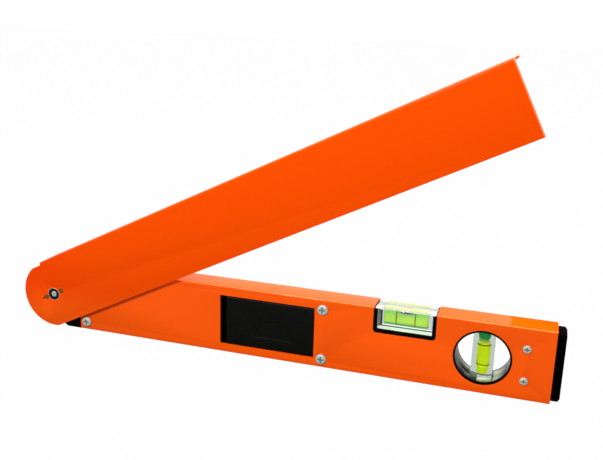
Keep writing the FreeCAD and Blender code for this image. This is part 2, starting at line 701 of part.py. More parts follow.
def build_housing():
    """Moulded head about the pivot with two tongues that the screws hold in the tube."""
    x, z = PIVOT_X, PIVOT_Z
    skin = (HOUSING_BACK, HOUSING_FRONT)
    disc = cut("housing_disc", rod(HEAD_RADIUS, x, z, skin), beside_tube(HEAD_RADIUS, "0"))
    neck_left = f"( {x} + heel_reach )"
    # its foot is level with the tube's, so the part stands on both
    neck = block((neck_left, LEFT), skin, ("0", HEAD_TOP))
    flat_left = f"( {x} + sqrt({HEAD_RADIUS} ^ 2 - ( {HEAD_TOP} - {z} ) ^ 2) )"
    crown = block((flat_left, f"{neck_left} + housing_wall"), skin,
                  (f"{z} + {HEAD_RADIUS} / 2", HEAD_TOP))
    low_in, high_in = "( tube_wall + tube_fit )", "( tube_height - tube_wall - tube_fit )"
    depth = (f"{BACK} + tube_wall + tube_fit", f"{FRONT} - tube_wall - tube_fit")
    reach = (f"{LEFT} - housing_wall", f"{LEFT} + tongue_length")
    tongues = [block(reach, depth, (low_in, f"{low_in} + tongue_height")),
               block(reach, depth, (f"{high_in} - tongue_height", high_in))]
    shell = join("housing_outside", disc, neck, crown, build_heel(), *tongues)

    cavity = rod(f"{HEAD_RADIUS} - housing_wall", x, z, (HOUSING_FLOOR, f"{HOUSING_FRONT} + {PAST}"))
    duct = block((f"{x} + boss_radius", f"{LEFT} + {PAST}"),
                 (HOUSING_FLOOR, f"{STATOR_END} + ribbon_thickness + duct_slack"),
                 (f"{CABLE_LOW} - duct_slack", f"{CABLE_HIGH} + duct_slack"))
    hollow = cut("housing_hollow", shell, cavity, duct)

    root = f"( {HOUSING_FLOOR} - housing_wall / 2 )"
    posts = [rod("post_radius", px, pz, (root, STATOR_Y)) for px, pz in post_places()]
    solid = join("housing_solid", hollow, rod("boss_radius", x, z, (root, BOSS_END)), *posts)
    bearing = rod("shaft_radius + bearing_slack", x, z,
                  (f"{HOUSING_BACK} - {PAST}", f"{BOSS_END} + {PAST}"))
    pilots = [pilot(sx, sz, "screw_radius", "screw_length") for sx, sz in HOUSING_SCREWS]
    taps = [rod("cover_screw + pilot_slack", px, pz,
                (f"{STATOR_Y} - cover_grip - pilot_depth", f"{STATOR_Y} + {PAST}"))
            for px, pz in post_places()]
    cut("pivot_housing", solid, bearing, *pilots, *taps)


def build_cover():
    """Round cover on the display side, and the three screws that hold it and the sensor board."""
    disc = rod(f"{HEAD_RADIUS} - housing_wall - tube_fit", PIVOT_X, PIVOT_Z, (COVER_IN, HOUSING_FRONT))
    stub_end = f"{COVER_IN} + housing_wall / 2"
    stubs = [rod("post_radius", px, pz, (STATOR_END, stub_end)) for px, pz in post_places()]
    seat = f"( {HOUSING_FRONT} - cover_sink )"
    sinks = []
    screws = []
    for px, pz in post_places():
        sinks.append(rod("cover_screw + pilot_slack", px, pz,
                         (f"{STATOR_END} - {PAST}", f"{HOUSING_FRONT} + {PAST}")))
        sinks.append(rod("cover_head + hole_slack", px, pz, (seat, f"{HOUSING_FRONT} + {PAST}")))
        top = f"( {seat} + cover_head_height )"
        blank = join("cover_screw_blank",
                     rod("cover_screw", px, pz, (f"{STATOR_Y} - cover_grip", seat)),
                     rod("cover_head", px, pz, (seat, top)))
        depth = (f"{top} - cover_head_height * {CROSS_DEPTH}", f"{top} + {PAST}")
        screws.append(cut("cover_screw_solid", blank, *cross_recess(px, pz, "cover_head", depth)))
    cut("housing_cover", join("cover_blank", disc, *stubs), beside_tube(HEAD_RADIUS, "tube_fit"), *sinks)
    group("cover_screws", *screws)


def build_sensor():
    """Sensor board on the posts, friction washer and the flat cable to the main board."""
    x, z = PIVOT_X, PIVOT_Z
    through = (f"{STATOR_Y} - {PAST}", f"{STATOR_END} + {PAST}")
    holes = [rod("cover_screw + hole_slack", px, pz, through) for px, pz in post_places()]
    cut("sensor_board",
        rod(f"{HEAD_RADIUS} - housing_wall - board_edge", x, z, (STATOR_Y, STATOR_END)),
        rod("nut_radius + nut_clearance", x, z, through), *holes)
    cut("friction_washer",
        rod("flange_radius", x, z, (f"{HOUSING_BACK} - friction_washer", HOUSING_BACK)),
        rod("shaft_radius + running_gap", x, z,
            (f"{HOUSING_BACK} - friction_washer - {PAST}", f"{HOUSING_BACK} + {PAST}")))
    cable = block((f"{x} + {HEAD_RADIUS} - housing_wall - cable_lap", f"{WINDOW_LEFT} + cable_lap"),
                  (STATOR_END, f"{STATOR_END} + ribbon_thickness"), (CABLE_LOW, CABLE_HIGH))
    cable.Label = "flat_cable"


# battery door, carrier, cells and display

CELL_Y = f"( {CARRIER_BACK} + cell_radius )"
BAY_LEFT = f"( {WINDOW_LEFT} + bay_inset )"
BAY_RIGHT = f"( {BAY_LEFT} + bay_width )"
BAY_X = f"( ( {BAY_LEFT} + {BAY_RIGHT} ) / 2 )"
# a cell's button points to +X or to -X
CELL_ROWS = (("battery_lower", f"( {WINDOW_MIDDLE} - cell_pitch / 2 )", 1),
             ("battery_upper", f"( {WINDOW_MIDDLE} + cell_pitch / 2 )", -1))
HOOK_ROWS = ("( window_rise + hook_inset )", f"( {WINDOW_TOP} - hook_inset )")
HOOK_PLACES = (f"( {WINDOW_LEFT} + hook_place )", f"( {WINDOW_RIGHT} - hook_place )")
HOOK_TOP = f"( {DOOR_IN} + hook_height )"
HOOK_END = f"( {HOOK_TOP} + hook_lip )"


def build_door():
    """Sliding door with a half-moon thumb recess and four hooks in keyhole slots."""
    body = new_body("battery_door")
    face = new_sketch(body, "door_face", "XZ_Plane", f"0 - {DOOR_IN}")
    draw_rectangle(face, (f"{WINDOW_LEFT} + door_gap", f"{WINDOW_RIGHT} - door_slack"),
                   ("window_rise + door_slack", f"{WINDOW_TOP} - door_slack"))
    pad(body, face, "door_thickness")
    grip = new_sketch(body, "thumb_recess", "XZ_Plane", f"0 - {DOOR_OUT} + {PAST}")
    grip_x = f"( {WINDOW_LEFT} + grip_inset )"
    moon = draw_arc(grip, "grip_width / 2", (grip_x, "grip_rise"), (0, 180),
                    (("DistanceY", "grip_rise"), ("DistanceY", "grip_rise")))
    draw_line(grip, (moon, 2), (moon, 1))
    pocket(body, grip, f"grip_depth + {PAST}")
    necks = new_sketch(body, "hook_necks", "XZ_Plane", f"0 - {HOOK_TOP}")
    feet = new_sketch(body, "hook_feet", "XZ_Plane", f"0 - {HOOK_END}")
    for x in HOOK_PLACES:
        for z in HOOK_ROWS:
            span = (f"{x} - hook_length / 2", f"{x} + hook_length / 2")
            draw_rectangle(necks, span, (f"{z} - hook_neck / 2", f"{z} + hook_neck / 2"))
            draw_rectangle(feet, span, (f"{z} - hook_foot / 2", f"{z} + hook_foot / 2"))
    pad(body, necks, f"{HOOK_TOP} - {DOOR_IN}")
    pad(body, feet, f"{HOOK_END} - {HOOK_TOP}")


def keyhole(x, z):
    """Slot for one hook: wide at its left, where the hook goes in, and undercut at its right."""
    start = f"( {x} - hook_length / 2 - door_gap )"
    end = f"( {x} + hook_length / 2 + door_slack )"
    foot = (f"{z} - hook_foot / 2 - door_slack", f"{z} + hook_foot / 2 + door_slack")
    neck = (f"{z} - hook_neck / 2 - door_slack", f"{z} + hook_neck / 2 + door_slack")
    mouth = f"{CARRIER_BACK} - {PAST}"
    return [block((start, end), (f"{HOOK_TOP} - door_slack", f"{HOOK_END} + door_slack"), foot),
            block((start, end), (mouth, HOOK_END), neck),
            block((start, f"{x} - hook_length / 2 - door_slack"), (mouth, HOOK_END), foot)]


def build_carrier():
    """Moulded carrier: battery bays and keyhole slots at the back, a tray for the board in front."""
    left = f"( {WINDOW_LEFT} - carrier_wall )"
    right = f"( {WINDOW_RIGHT} + carrier_tail )"
    inside = ("tube_wall + tube_fit", "tube_height - tube_wall - tube_fit")
    wall_in = f"( {BACK} + tube_wall + tube_fit )"
    blank = block((left, right), (CARRIER_BACK, f"{FRONT} - tube_wall - tube_fit"), inside)
    tail = block((f"{WINDOW_RIGHT} + door_slack", right), (wall_in, f"{CARRIER_BACK} + {PAST}"), inside)
    bays = [block((BAY_LEFT, BAY_RIGHT), (f"{CARRIER_BACK} - {PAST}", BAY_END),
                  (f"{z} - cell_radius - bay_slack", f"{z} + cell_radius + bay_slack"))
            for name, z, way in CELL_ROWS]
    tray = block((f"{WINDOW_LEFT} - tube_fit", f"{WINDOW_RIGHT} + tube_fit"), (BOARD_Y, FRONT),
                 ("window_rise - tube_fit", f"{WINDOW_TOP} + tube_fit"))
    bridge = block((f"{BAY_RIGHT} - contact_thickness - tube_fit", BAY_RIGHT),
                   (f"{CARRIER_BACK} - {PAST}", BAY_END), (CELL_ROWS[0][1], CELL_ROWS[1][1]))
    groove = block((f"{left} - {PAST}", f"{WINDOW_LEFT} + cable_lap + door_slack"),
                   (f"{STATOR_END} - tube_fit", f"{BOARD_Y} + tube_fit"),
                   (f"{CABLE_LOW} - door_slack", f"{CABLE_HIGH} + door_slack"))
    slots = [tool for x in HOOK_PLACES for z in HOOK_ROWS for tool in keyhole(x, z)]
    pilots = [pilot(sx, sz, "screw_radius", "screw_length") for sx, sz in CARRIER_SCREWS]
    cut("module_carrier", join("carrier_blank", blank, tail), tray, groove, bridge,
        *bays, *slots, *pilots)


CELL_SHOULDER = 0.8
CELL_BUTTON = 0.36


def build_cell(label, z, way):
    """A cell turned about its axis, with its button at one end."""
    body = new_body(label)
    profile = new_sketch(body, label + "_profile", "XZ_Plane")
    half = "( cell_length / 2 )"
    bevel = f"( cell_radius * ( 1 - {CELL_SHOULDER} ) )"
    draw_outline(profile, [
        ("0", f"0 - {half}"),
        (f"cell_radius * {CELL_SHOULDER}", f"0 - {half}"),
        ("cell_radius", f"0 - {half} + {bevel}"),
        ("cell_radius", f"{half} - {bevel}"),
        (f"cell_radius * {CELL_SHOULDER}", half),
        (f"cell_radius * {CELL_BUTTON}", half),
        (f"cell_radius * {CELL_BUTTON}", f"{half} + cell_button"),
        ("0", f"{half} + cell_button")])
    revolve(body, profile)
    body.Placement = Placement(Vector(), Rotation(Vector(0, 1, 0), 90.0 * way))
    for axis, text in zip("xyz", (BAY_X, CELL_Y, z)):
        bind(body, f"Placement.Base.{axis}", text)


def build_contacts():
    """Sprung leaves at the bay's left end, and the bridge between the cells at its right end."""
    deep = (f"{CARRIER_BACK} + contact_margin", f"{BAY_END} - contact_margin")
    spare = "( ( bay_width - cell_length ) / 2 )"
    touch = (f"{CELL_Y} - contact_tongue", f"{CELL_Y} + contact_tongue")
    leaves = []
    dimples = []
    for label, z, way in CELL_ROWS:
        wide = (f"{z} - contact_width / 2", f"{z} + contact_width / 2")
        narrow = (f"{z} - contact_tongue", f"{z} + contact_tongue")
        button_left = "0" if way > 0 else "cell_button"
        button_right = "cell_button" if way > 0 else "0"
        plate = block((BAY_LEFT, f"{BAY_LEFT} + contact_thickness"), deep, wide)
        tongue = block((BAY_LEFT, f"{BAY_LEFT} + {spare} - {button_left}"), touch, narrow)
        leaves.append(join("leaf_of_" + label, plate, tongue))
        dimples.append(block((f"{BAY_RIGHT} - {spare} + {button_right}", BAY_RIGHT), touch, narrow))
    group("contact_leaves", *leaves)
    strip = block((f"{BAY_RIGHT} - contact_thickness", BAY_RIGHT), deep,
                  (f"{CELL_ROWS[0][1]} - contact_width / 2", f"{CELL_ROWS[1][1]} + contact_width / 2"))
    join("contact_bridge", strip, *dimples)


BUTTONS = [(label, f"( {WINDOW_MIDDLE} + ( {step} ) * button_pitch )")
           for label, step in (("button_power", -1), ("button_hold", 0), ("button_zero", 1))]
BUTTON_X = f"( {WINDOW_RIGHT} - button_inset )"
LENS_X = f"( {WINDOW_LEFT} + lens_inset )"
BEZEL_FACE = f"( {FRONT} + bezel_flange )"
BEZEL_IN = f"( {FRONT} - bezel_depth )"
BUTTON_SEAT = f"( {BEZEL_IN} - captive_gap )"
BUTTON_STEM = f"( {BUTTON_SEAT} - stem_length )"


def around(centre, width):
    return f"{centre} - ( {width} ) / 2", f"{centre} + ( {width} ) / 2"


def build_electronics():
    """Main board, switch domes and display glass."""
    board = block((f"{WINDOW_LEFT} + board_margin", f"{WINDOW_RIGHT} - board_margin"),
                  (BOARD_Y, BOARD_END), ("window_rise + tube_fit", f"{WINDOW_TOP} - tube_fit"))
    board.Label = "main_board"
    glass = block(around(LENS_X, "lcd_width"), (BOARD_END, f"{BOARD_END} + lcd_thickness"),
                  around(WINDOW_MIDDLE, "lcd_height"))
    glass.Label = "lcd_panel"
    group("switch_domes", *[rod("dome_radius", BUTTON_X, z, (BOARD_END, f"{BOARD_END} + dome_height"),
                                narrow="dome_radius / 2") for label, z in BUTTONS])


def build_bezel():
    """Bezel pressed into the display window, with a seat for the lens."""
    bezel = new_body("display_bezel")
    insert = new_sketch(bezel, "bezel_insert", "XZ_Plane", f"0 - {FRONT}")
    draw_rectangle(insert, (f"{WINDOW_LEFT} + tube_fit", f"{WINDOW_RIGHT} - tube_fit"),
                   ("window_rise + tube_fit", f"{WINDOW_TOP} - tube_fit"))
    pad(bezel, insert, "bezel_depth")
    settle()
    flange = new_sketch(bezel, "bezel_flange", "XZ_Plane", f"0 - {BEZEL_FACE}")
    sides = (f"{WINDOW_LEFT} - bezel_overlap", f"{WINDOW_RIGHT} + bezel_overlap")
    draw_rectangle(flange, sides, ("window_rise - bezel_overlap", f"{WINDOW_TOP} + bezel_overlap"))
    pad(bezel, flange, "bezel_flange")
    soften(bezel, "Fillet", "bezel_corner",
           lambda box: runs_along("Y", box) and any(near(box.XMin, value(side)) for side in sides))
    opening = new_sketch(bezel, "bezel_openings", "XZ_Plane", f"0 - {BEZEL_IN} + {PAST}")
    draw_rectangle(opening, around(LENS_X, "lens_width"), around(WINDOW_MIDDLE, "lens_height"))
    for label, z in BUTTONS:
        draw_circle(opening, "button_radius + running_gap", BUTTON_X, z)
    pocket(bezel, opening, f"{BEZEL_FACE} - {BEZEL_IN} + {PAST} * 2")
    seat = new_sketch(bezel, "lens_seat", "XZ_Plane", f"0 - {BEZEL_FACE} + lens_thickness")
    draw_rectangle(seat, around(LENS_X, "lens_width + lens_lip * 2 + tube_fit * 2"),
                   around(WINDOW_MIDDLE, "lens_height + lens_lip * 2 + tube_fit * 2"))
    pocket(bezel, seat, f"lens_thickness + {PAST}")


def build_front():
    """The lens and the three buttons."""
    lens = block(around(LENS_X, "lens_width + lens_lip * 2"),
                 (f"{BEZEL_FACE} - lens_thickness", BEZEL_FACE),
                 around(WINDOW_MIDDLE, "lens_height + lens_lip * 2"))
    lens.Label = "display_lens"
    for label, z in BUTTONS:
        face = f"( {BEZEL_FACE} + button_proud )"
        join(label,
             rod("stem_radius", BUTTON_X, z, (BUTTON_STEM, BUTTON_SEAT)),
             rod("button_flange", BUTTON_X, z, (f"{BUTTON_SEAT} - flange_height", BUTTON_SEAT)),
             rod("button_radius", BUTTON_X, z,
                 (f"{BUTTON_SEAT} - flange_height / 2", f"{face} - button_bevel")),
             rod("button_radius", BUTTON_X, z, (f"{face} - button_bevel", face),
                 narrow="button_radius - button_bevel"))


# vials

BLOCK_LEFT = f"( {NOTCH_LEFT} + tube_fit + frame_wall )"
BLOCK_RIGHT = f"( {NOTCH_RIGHT} - tube_fit - frame_wall )"
BLOCK_LOW = f"( {NOTCH_FLOOR} + tube_fit + frame_floor )"
BLOCK_TOP = "( tube_height - vial_drop )"
BORE_Z = f"( ( {BLOCK_LOW} + {BLOCK_TOP} ) / 2 )"


def barrel(name, radius, length, swell, x, z, lying=False):
    """A turned form that is wider in its middle by its swell, upright or lying along X."""
    body = new_body(name)
    profile = new_sketch(body, name + "_profile", "XZ_Plane")
    half = f"( {length} / 2 )"
    # the crown's radius from half its chord and its height
    crown = f"( ( {half} ^ 2 + ( {swell} ) ^ 2 ) / ( 2 * ( {swell} ) ) )"
    swing = math.degrees(math.asin(value(half) / value(crown)))
    arc = draw_arc(profile, crown, (f"{radius} - {crown}", "0"), (-swing, swing),
                   (("DistanceY", f"0 - {half}"), ("DistanceY", half)))
    foot = draw_line(profile, ("0", f"0 - {half}"), (arc, 1))
    head = draw_line(profile, (arc, 2), ("0", half))
    draw_line(profile, (head, 2), (foot, 1))
    revolve(body, profile)
    if lying:
        body.Placement = Placement(Vector(), Rotation(Vector(0, 1, 0), 90))
    bind(body, "Placement.Base.x", x)
    bind(body, "Placement.Base.z", z)
    settle()
    return body


def build_level_vial():
    """U-shaped frame in the notch, clear block in it, liquid with its bubble."""
    frame = new_body("vial_frame")
    side = new_sketch(frame, "frame_side", "XZ_Plane")
    draw_outline(side, [
        (f"{NOTCH_LEFT} + tube_fit", f"{NOTCH_FLOOR} + tube_fit"),
        (f"{NOTCH_RIGHT} - tube_fit", f"{NOTCH_FLOOR} + tube_fit"),
        (f"{NOTCH_RIGHT} - tube_fit", "tube_height"),
        (BLOCK_RIGHT, "tube_height"),
        (BLOCK_RIGHT, BLOCK_LOW),
        (BLOCK_LEFT, BLOCK_LOW),
        (BLOCK_LEFT, "tube_height"),
        (f"{NOTCH_LEFT} + tube_fit", "tube_height")])
    pad(frame, side, DEPTH, middle=True)
    soften(frame, "Fillet", "notch_corner",
           lambda box: runs_along("Y", box) and near(box.ZMin, value(f"{NOTCH_FLOOR} + tube_fit")))

    blank = block((BLOCK_LEFT, BLOCK_RIGHT), (f"{BACK} + vial_inset", f"{FRONT} - vial_inset"),
                  (BLOCK_LOW, BLOCK_TOP))
    form = ("bore_radius", "bore_length", "bore_swell", NOTCH_X, BORE_Z)
    cut("level_vial", blank, barrel("level_chamber", *form, lying=True))
    # the bubble's radius from half its length and its depth
    arch = "( ( ( bubble_length / 2 ) ^ 2 + bubble_depth ^ 2 ) / ( 2 * bubble_depth ) )"
    bubble = rod(arch, NOTCH_X, f"{BORE_Z} + bore_radius - bubble_depth + {arch}",
                 (f"0 - bore_radius - {PAST}", f"bore_radius + {PAST}"))
    cut("level_liquid", barrel("level_filling", *form, lying=True), bubble)


def upright(radius, low, high, narrow=None):
    """A cylinder or cone about the plumb vial's axis."""
    thing = doc.addObject("Part::Cone" if narrow else "Part::Cylinder", "upright")
    if narrow:
        bind(thing, "Radius1", narrow)
        bind(thing, "Radius2", radius)
    else:
        bind(thing, "Radius", radius)
    bind(thing, "Height", f"( {high} ) - ( {low} )")
    bind(thing, "Placement.Base.x", PORT_X)
    bind(thing, "Placement.Base.z", low)
    return thing


def build_plumb_vial():
    """Ring in the round port, clear block across it, liquid and green plug."""
    ring = new_body("plumb_ring")
    section = new_sketch(ring, "ring_section", "XZ_Plane")
    draw_circle(section, "port_radius - tube_fit", PORT_X, PORT_Z)
    draw_circle(section, "port_radius - tube_fit - ring_wall", PORT_X, PORT_Z)
    pad(ring, section, DEPTH, middle=True)
    settle()
    seat = new_sketch(ring, "block_seat", "XZ_Plane")
    draw_rectangle(seat, around(PORT_X, "plumb_width + tube_fit * 2"),
                   (f"{PORT_Z} - port_radius", f"{PORT_Z} + port_radius"))
    pocket(ring, seat, "plumb_width + tube_fit * 2", middle=True)

    low = "( tube_wall + plumb_clearance )"
    high = "( tube_height - tube_wall - plumb_clearance )"
    blank = block(around(PORT_X, "plumb_width"), around("0", "plumb_width"), (low, high))
    middle = "plumb_bore_low + plumb_bore_length / 2"
    chamber_top = "( plumb_bore_low + plumb_bore_length )"
    form = ("plumb_bore", "plumb_bore_length", "bore_swell", PORT_X, middle)
    mouth = upright("plumb_bore", f"{chamber_top} - bore_swell", f"{high} + {PAST}")
    cut("plumb_vial", blank, barrel("plumb_chamber", *form), mouth)
    bubble = upright(f"plumb_bore + {PAST}", f"{chamber_top} - plumb_bubble", f"{chamber_top} + {PAST}")
    cut("plumb_liquid", barrel("plumb_filling", *form), bubble)
    upright("plumb_bore - pilot_slack", chamber_top, high, narrow="plug_tip").Label = "plumb_plug"


def build_cap():
    """Hollow end cap with bosses for its two screws."""
    shell = new_body("cap_shell")
    left = f"( {RIGHT} - cap_plug )"
    right = f"( {RIGHT} + cap_reach )"
    low, high = "cap_inset", "( tube_height - cap_inset )"
    back, front = f"( {BACK} + cap_side_inset )", f"( {FRONT} - cap_side_inset )"
    section = new_sketch(shell, "cap_section", "YZ_Plane", left)
    draw_rectangle(section, (back, front), (low, high))
    pad(shell, section, f"{right} - {left}")
    soften(shell, "Chamfer", "cap_chamfer",
           lambda box: box.XLength < SAME and near(box.XMin, value(right)))
    hollow = new_sketch(shell, "cap_hollow", "YZ_Plane", f"{right} - cap_end")
    draw_rectangle(hollow, (f"{back} + cap_wall", f"{front} - cap_wall"),
                   (f"{low} + cap_wall", f"{high} - cap_wall"))
    pocket(shell, hollow, f"{right} - {left}")
    root = (f"{back} + cap_wall / 2", f"{front} - cap_wall / 2")
    bosses = [rod("small_screw + cap_wall", x, z, root) for x, z in CAP_SCREWS]
    pilots = [pilot(x, z, "small_screw", "small_length") for x, z in CAP_SCREWS]
    cut("end_cap", join("cap_with_bosses", shell, *bosses), *pilots)


NODES = [
    "level_tube", "end_cap", "cap_screws", "vial_frame", "level_vial", "level_liquid",
    "plumb_ring", "plumb_vial", "plumb_liquid", "plumb_plug",
    "pivot_housing", "housing_cover", "cover_screws", "housing_screws", "sensor_board",
    "friction_washer", "flat_cable",
    "arm_blade", "pivot_hub", "pivot_screw", "sensor_rotor", "pivot_washer", "pivot_nut", "key_pins",
    "battery_door", "module_carrier", "carrier_screws", "battery_lower", "battery_upper",
    "contact_leaves", "contact_bridge", "main_board", "switch_domes", "lcd_panel",
    "display_bezel", "display_lens", "button_power", "button_hold", "button_zero",
]


def find_piece(label):
    """The one object with this label; its shape must hold valid solids."""
    found = doc.getObjectsByLabel(label)
    if len(found) != 1:
        raise RuntimeError(f"{label}: {len(found)} objects have this label")
    shape = found[0].Shape
    if shape.isNull() or not shape.isValid() or not shape.Solids:
        raise RuntimeError(f"{label}: the shape is empty or not valid")
    return found[0]


def main():
    build_tube()
    build_arm()
    build_hub()
    build_hub_hardware()
    build_housing()
    build_cover()
    build_sensor()
    build_screws()
    build_door()
    build_carrier()
    for label, z, way in CELL_ROWS:
        build_cell(label, z, way)
    build_contacts()
    build_electronics()
    build_bezel()
    build_front()
    build_level_vial()
    build_plumb_vial()
    build_cap()
    settle()
    pieces = [find_piece(label) for label in NODES]
    os.makedirs("parts", exist_ok=True)
    for piece in pieces:
        piece.Shape.exportStep(f"parts/{piece.Label}.step")
        box = piece.Shape.BoundBox
        print(f"{piece.Label:16s} solids {len(piece.Shape.Solids)} volume {piece.Shape.Volume:8.0f}",
              f"x {box.XMin:7.2f} {box.XMax:7.2f} y {box.YMin:6.2f} {box.YMax:6.2f}",
              f"z {box.ZMin:6.2f} {box.ZMax:6.2f}")


main()
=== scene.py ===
import bpy
import bmesh
import math
from mathutils import Matrix, Vector


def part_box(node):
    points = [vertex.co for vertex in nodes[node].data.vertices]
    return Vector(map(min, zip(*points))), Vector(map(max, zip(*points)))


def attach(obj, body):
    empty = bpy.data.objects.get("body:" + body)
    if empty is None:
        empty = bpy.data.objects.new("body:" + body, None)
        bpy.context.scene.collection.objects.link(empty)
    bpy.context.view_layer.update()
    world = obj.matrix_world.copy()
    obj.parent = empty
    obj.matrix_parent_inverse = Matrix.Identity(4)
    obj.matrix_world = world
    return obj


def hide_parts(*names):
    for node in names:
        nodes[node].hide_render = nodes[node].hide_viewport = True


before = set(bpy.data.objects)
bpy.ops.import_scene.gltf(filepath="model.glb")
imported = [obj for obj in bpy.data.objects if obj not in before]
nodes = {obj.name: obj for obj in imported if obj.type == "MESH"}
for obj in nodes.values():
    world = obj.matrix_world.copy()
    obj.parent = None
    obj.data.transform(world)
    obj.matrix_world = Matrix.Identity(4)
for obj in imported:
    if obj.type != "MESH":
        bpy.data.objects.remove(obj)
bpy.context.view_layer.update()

# Digital inclinometer: box-section level with two block vials and a folding arm.
# Lengths are millimetres where a name ends in _mm or is multiplied by MM, and else metres.
MM = 0.001


# finishes

def finish(name, colour, roughness, **sockets):
    """A material with one colour and any other shader settings, such as Coat_Weight."""
    material = bpy.data.materials.new(name)
    material.use_nodes = True
    shader = material.node_tree.nodes["Principled BSDF"]
    shader.inputs["Base Color"].default_value = (*colour, 1.0)
    shader.inputs["Roughness"].default_value = roughness
    for socket, amount in sockets.items():
        shader.inputs[socket.replace("_", " ")].default_value = amount
    return material


def add(owner, kind, **settings):
    """A new node in the tree of a material or of the world."""
    node = owner.node_tree.nodes.new("ShaderNode" + kind)
    for name, amount in settings.items():
        setattr(node, name, amount)
    return node


def wire(owner, source, target):
    owner.node_tree.links.new(source, target)


def shader_of(material):
    return material.node_tree.nodes["Principled BSDF"]


def cloudiness(material, grain_mm, stretch=(1, 1, 1), detail=3.0):
    """Noise over the object, with clouds of about that size."""
    place = add(material, "TexCoord")
    turn = add(material, "Mapping")
    turn.inputs["Scale"].default_value = stretch
    noise = add(material, "TexNoise")
    noise.inputs["Scale"].default_value = 1 / (grain_mm * MM)
    noise.inputs["Detail"].default_value = detail
    wire(material, place.outputs["Object"], turn.inputs["Vector"])
    wire(material, turn.outputs["Vector"], noise.inputs["Vector"])
    return noise.outputs["Fac"]


def remap(owner, source, low, high, start=0.3, end=0.7):
    """Stretch a pattern so that what goes from start to end runs from low to high."""
    node = add(owner, "MapRange")
    node.inputs["From Min"].default_value = start
    node.inputs["From Max"].default_value = end
    node.inputs["To Min"].default_value = low
    node.inputs["To Max"].default_value = high
    wire(owner, source, node.inputs["Value"])
    return node.outputs["Result"]


def combine(owner, operation, *terms):
    """A Math node over sockets and plain numbers."""
    node = add(owner, "Math", operation=operation)
    for socket, term in zip(node.inputs, terms):
        if isinstance(term, (int, float)):
            socket.default_value = term
        else:
            wire(owner, term, socket)
    return node.outputs[0]


def blend_colour(material, share, first, second):
    """Colour that goes from the first to the second as share goes from 0 to 1."""
    mix = add(material, "Mix", data_type="RGBA")
    for slot, colour in (("A", first), ("B", second)):
        sockets = [s for s in mix.inputs if s.name == slot and s.type == "RGBA"]
        if isinstance(colour, tuple):
            sockets[0].default_value = (*colour, 1.0)
        else:
            wire(material, colour, sockets[0])
    wire(material, share, mix.inputs["Factor"])
    return [s for s in mix.outputs if s.type == "RGBA"][0]


def lay_over(material, share, colour):
    """Cover the finish's colour so far with another one, by a share from 0 to 1."""
    socket = shader_of(material).inputs["Base Color"]
    first = socket.links[0].from_socket if socket.links else tuple(socket.default_value)[:3]
    wire(material, blend_colour(material, share, first, colour), socket)


def colour_clouds(material, second, grain_mm, low=0.0, high=1.0, stretch=(1, 1, 1)):
    """Drift from the finish's own colour to a second one."""
    lay_over(material, remap(material, cloudiness(material, grain_mm, stretch), low, high), second)


def roughness_clouds(material, low, high, grain_mm, stretch=(1, 1, 1)):
    share = remap(material, cloudiness(material, grain_mm, stretch), low, high)
    wire(material, share, shader_of(material).inputs["Roughness"])


def relief(material, height_mm, source):
    """Raise the surface by a pattern; a second call adds to the first."""
    bump = add(material, "Bump")
    bump.inputs["Strength"].default_value = 1.0
    bump.inputs["Distance"].default_value = height_mm * MM
    wire(material, source, bump.inputs["Height"])
    normal = shader_of(material).inputs["Normal"]
    if normal.links:
        wire(material, normal.links[0].from_socket, bump.inputs["Normal"])
    wire(material, bump.outputs["Normal"], normal)


def specks(material, colour, spacing_mm, radius_mm, share=1.0):
    """Scattered specks, such as dust under paint or solder points on a board."""
    place = add(material, "TexCoord")
    cells = add(material, "TexVoronoi")
    cells.inputs["Scale"].default_value = 1 / (spacing_mm * MM)
    wire(material, place.outputs["Object"], cells.inputs["Vector"])
    edge = radius_mm / spacing_mm
    lay_over(material, remap(material, cells.outputs["Distance"], share, 0.0, edge * 0.6, edge),
             colour)


def glow_in_colour(material, strength):
    """A little light of its own in the pattern of its colour, for what lamps reach badly."""
    shader = shader_of(material)
    wire(material, shader.inputs["Base Color"].links[0].from_socket,
         shader.inputs["Emission Color"])
    shader.inputs["Emission Strength"].default_value = strength


def place_along(material, axis, turn_degrees=0):
    """Where a point lies along one axis of the object, after the axes are turned about Y."""
    place = add(material, "TexCoord")
    turn = add(material, "Mapping")
    turn.inputs["Rotation"].default_value = (0, math.radians(turn_degrees), 0)
    split = add(material, "SeparateXYZ")
    wire(material, place.outputs["Object"], turn.inputs["Vector"])
    wire(material, turn.outputs["Vector"], split.inputs["Vector"])
    return split.outputs[axis]


def stripe(material, axis, start_mm, width_mm, colour, turn_degrees=0):
    """A band of another colour across the object, from start for width, along one axis."""
    middle, half = (start_mm + width_mm / 2) * MM, width_mm / 2 * MM
    away = combine(material, "SUBTRACT", place_along(material, axis, turn_degrees), middle)
    inside = combine(material, "LESS_THAN", combine(material, "ABSOLUTE", away), half)
    lay_over(material, inside, colour)


def shade_along(material, axis, start_mm, end_mm, second):
    """Go over to a second colour between two places along one axis."""
    share = remap(material, place_along(material, axis), 0.0, 1.0, start_mm * MM, end_mm * MM)
    lay_over(material, share, second)


def painted(name, colour, deep, gloss=1.0, gloss_blur=0.05, gloss_index=1.2):
    """Glossy paint over metal: orange peel, slow drift of shade, a little dust."""
    paint = finish(name, colour, 0.5, Specular_IOR_Level=0.0, Coat_Weight=gloss,
                   Coat_Roughness=gloss_blur, Coat_IOR=gloss_index)
    colour_clouds(paint, deep, 60, 0.0, 0.2)
    colour_clouds(paint, deep, 1.6, 0.0, 0.16)
    specks(paint, tuple(0.6 * part for part in colour), 9.0, 0.09, 0.5)
    relief(paint, 0.004, cloudiness(paint, 0.9))
    relief(paint, 0.012, cloudiness(paint, 7.0))
    return paint


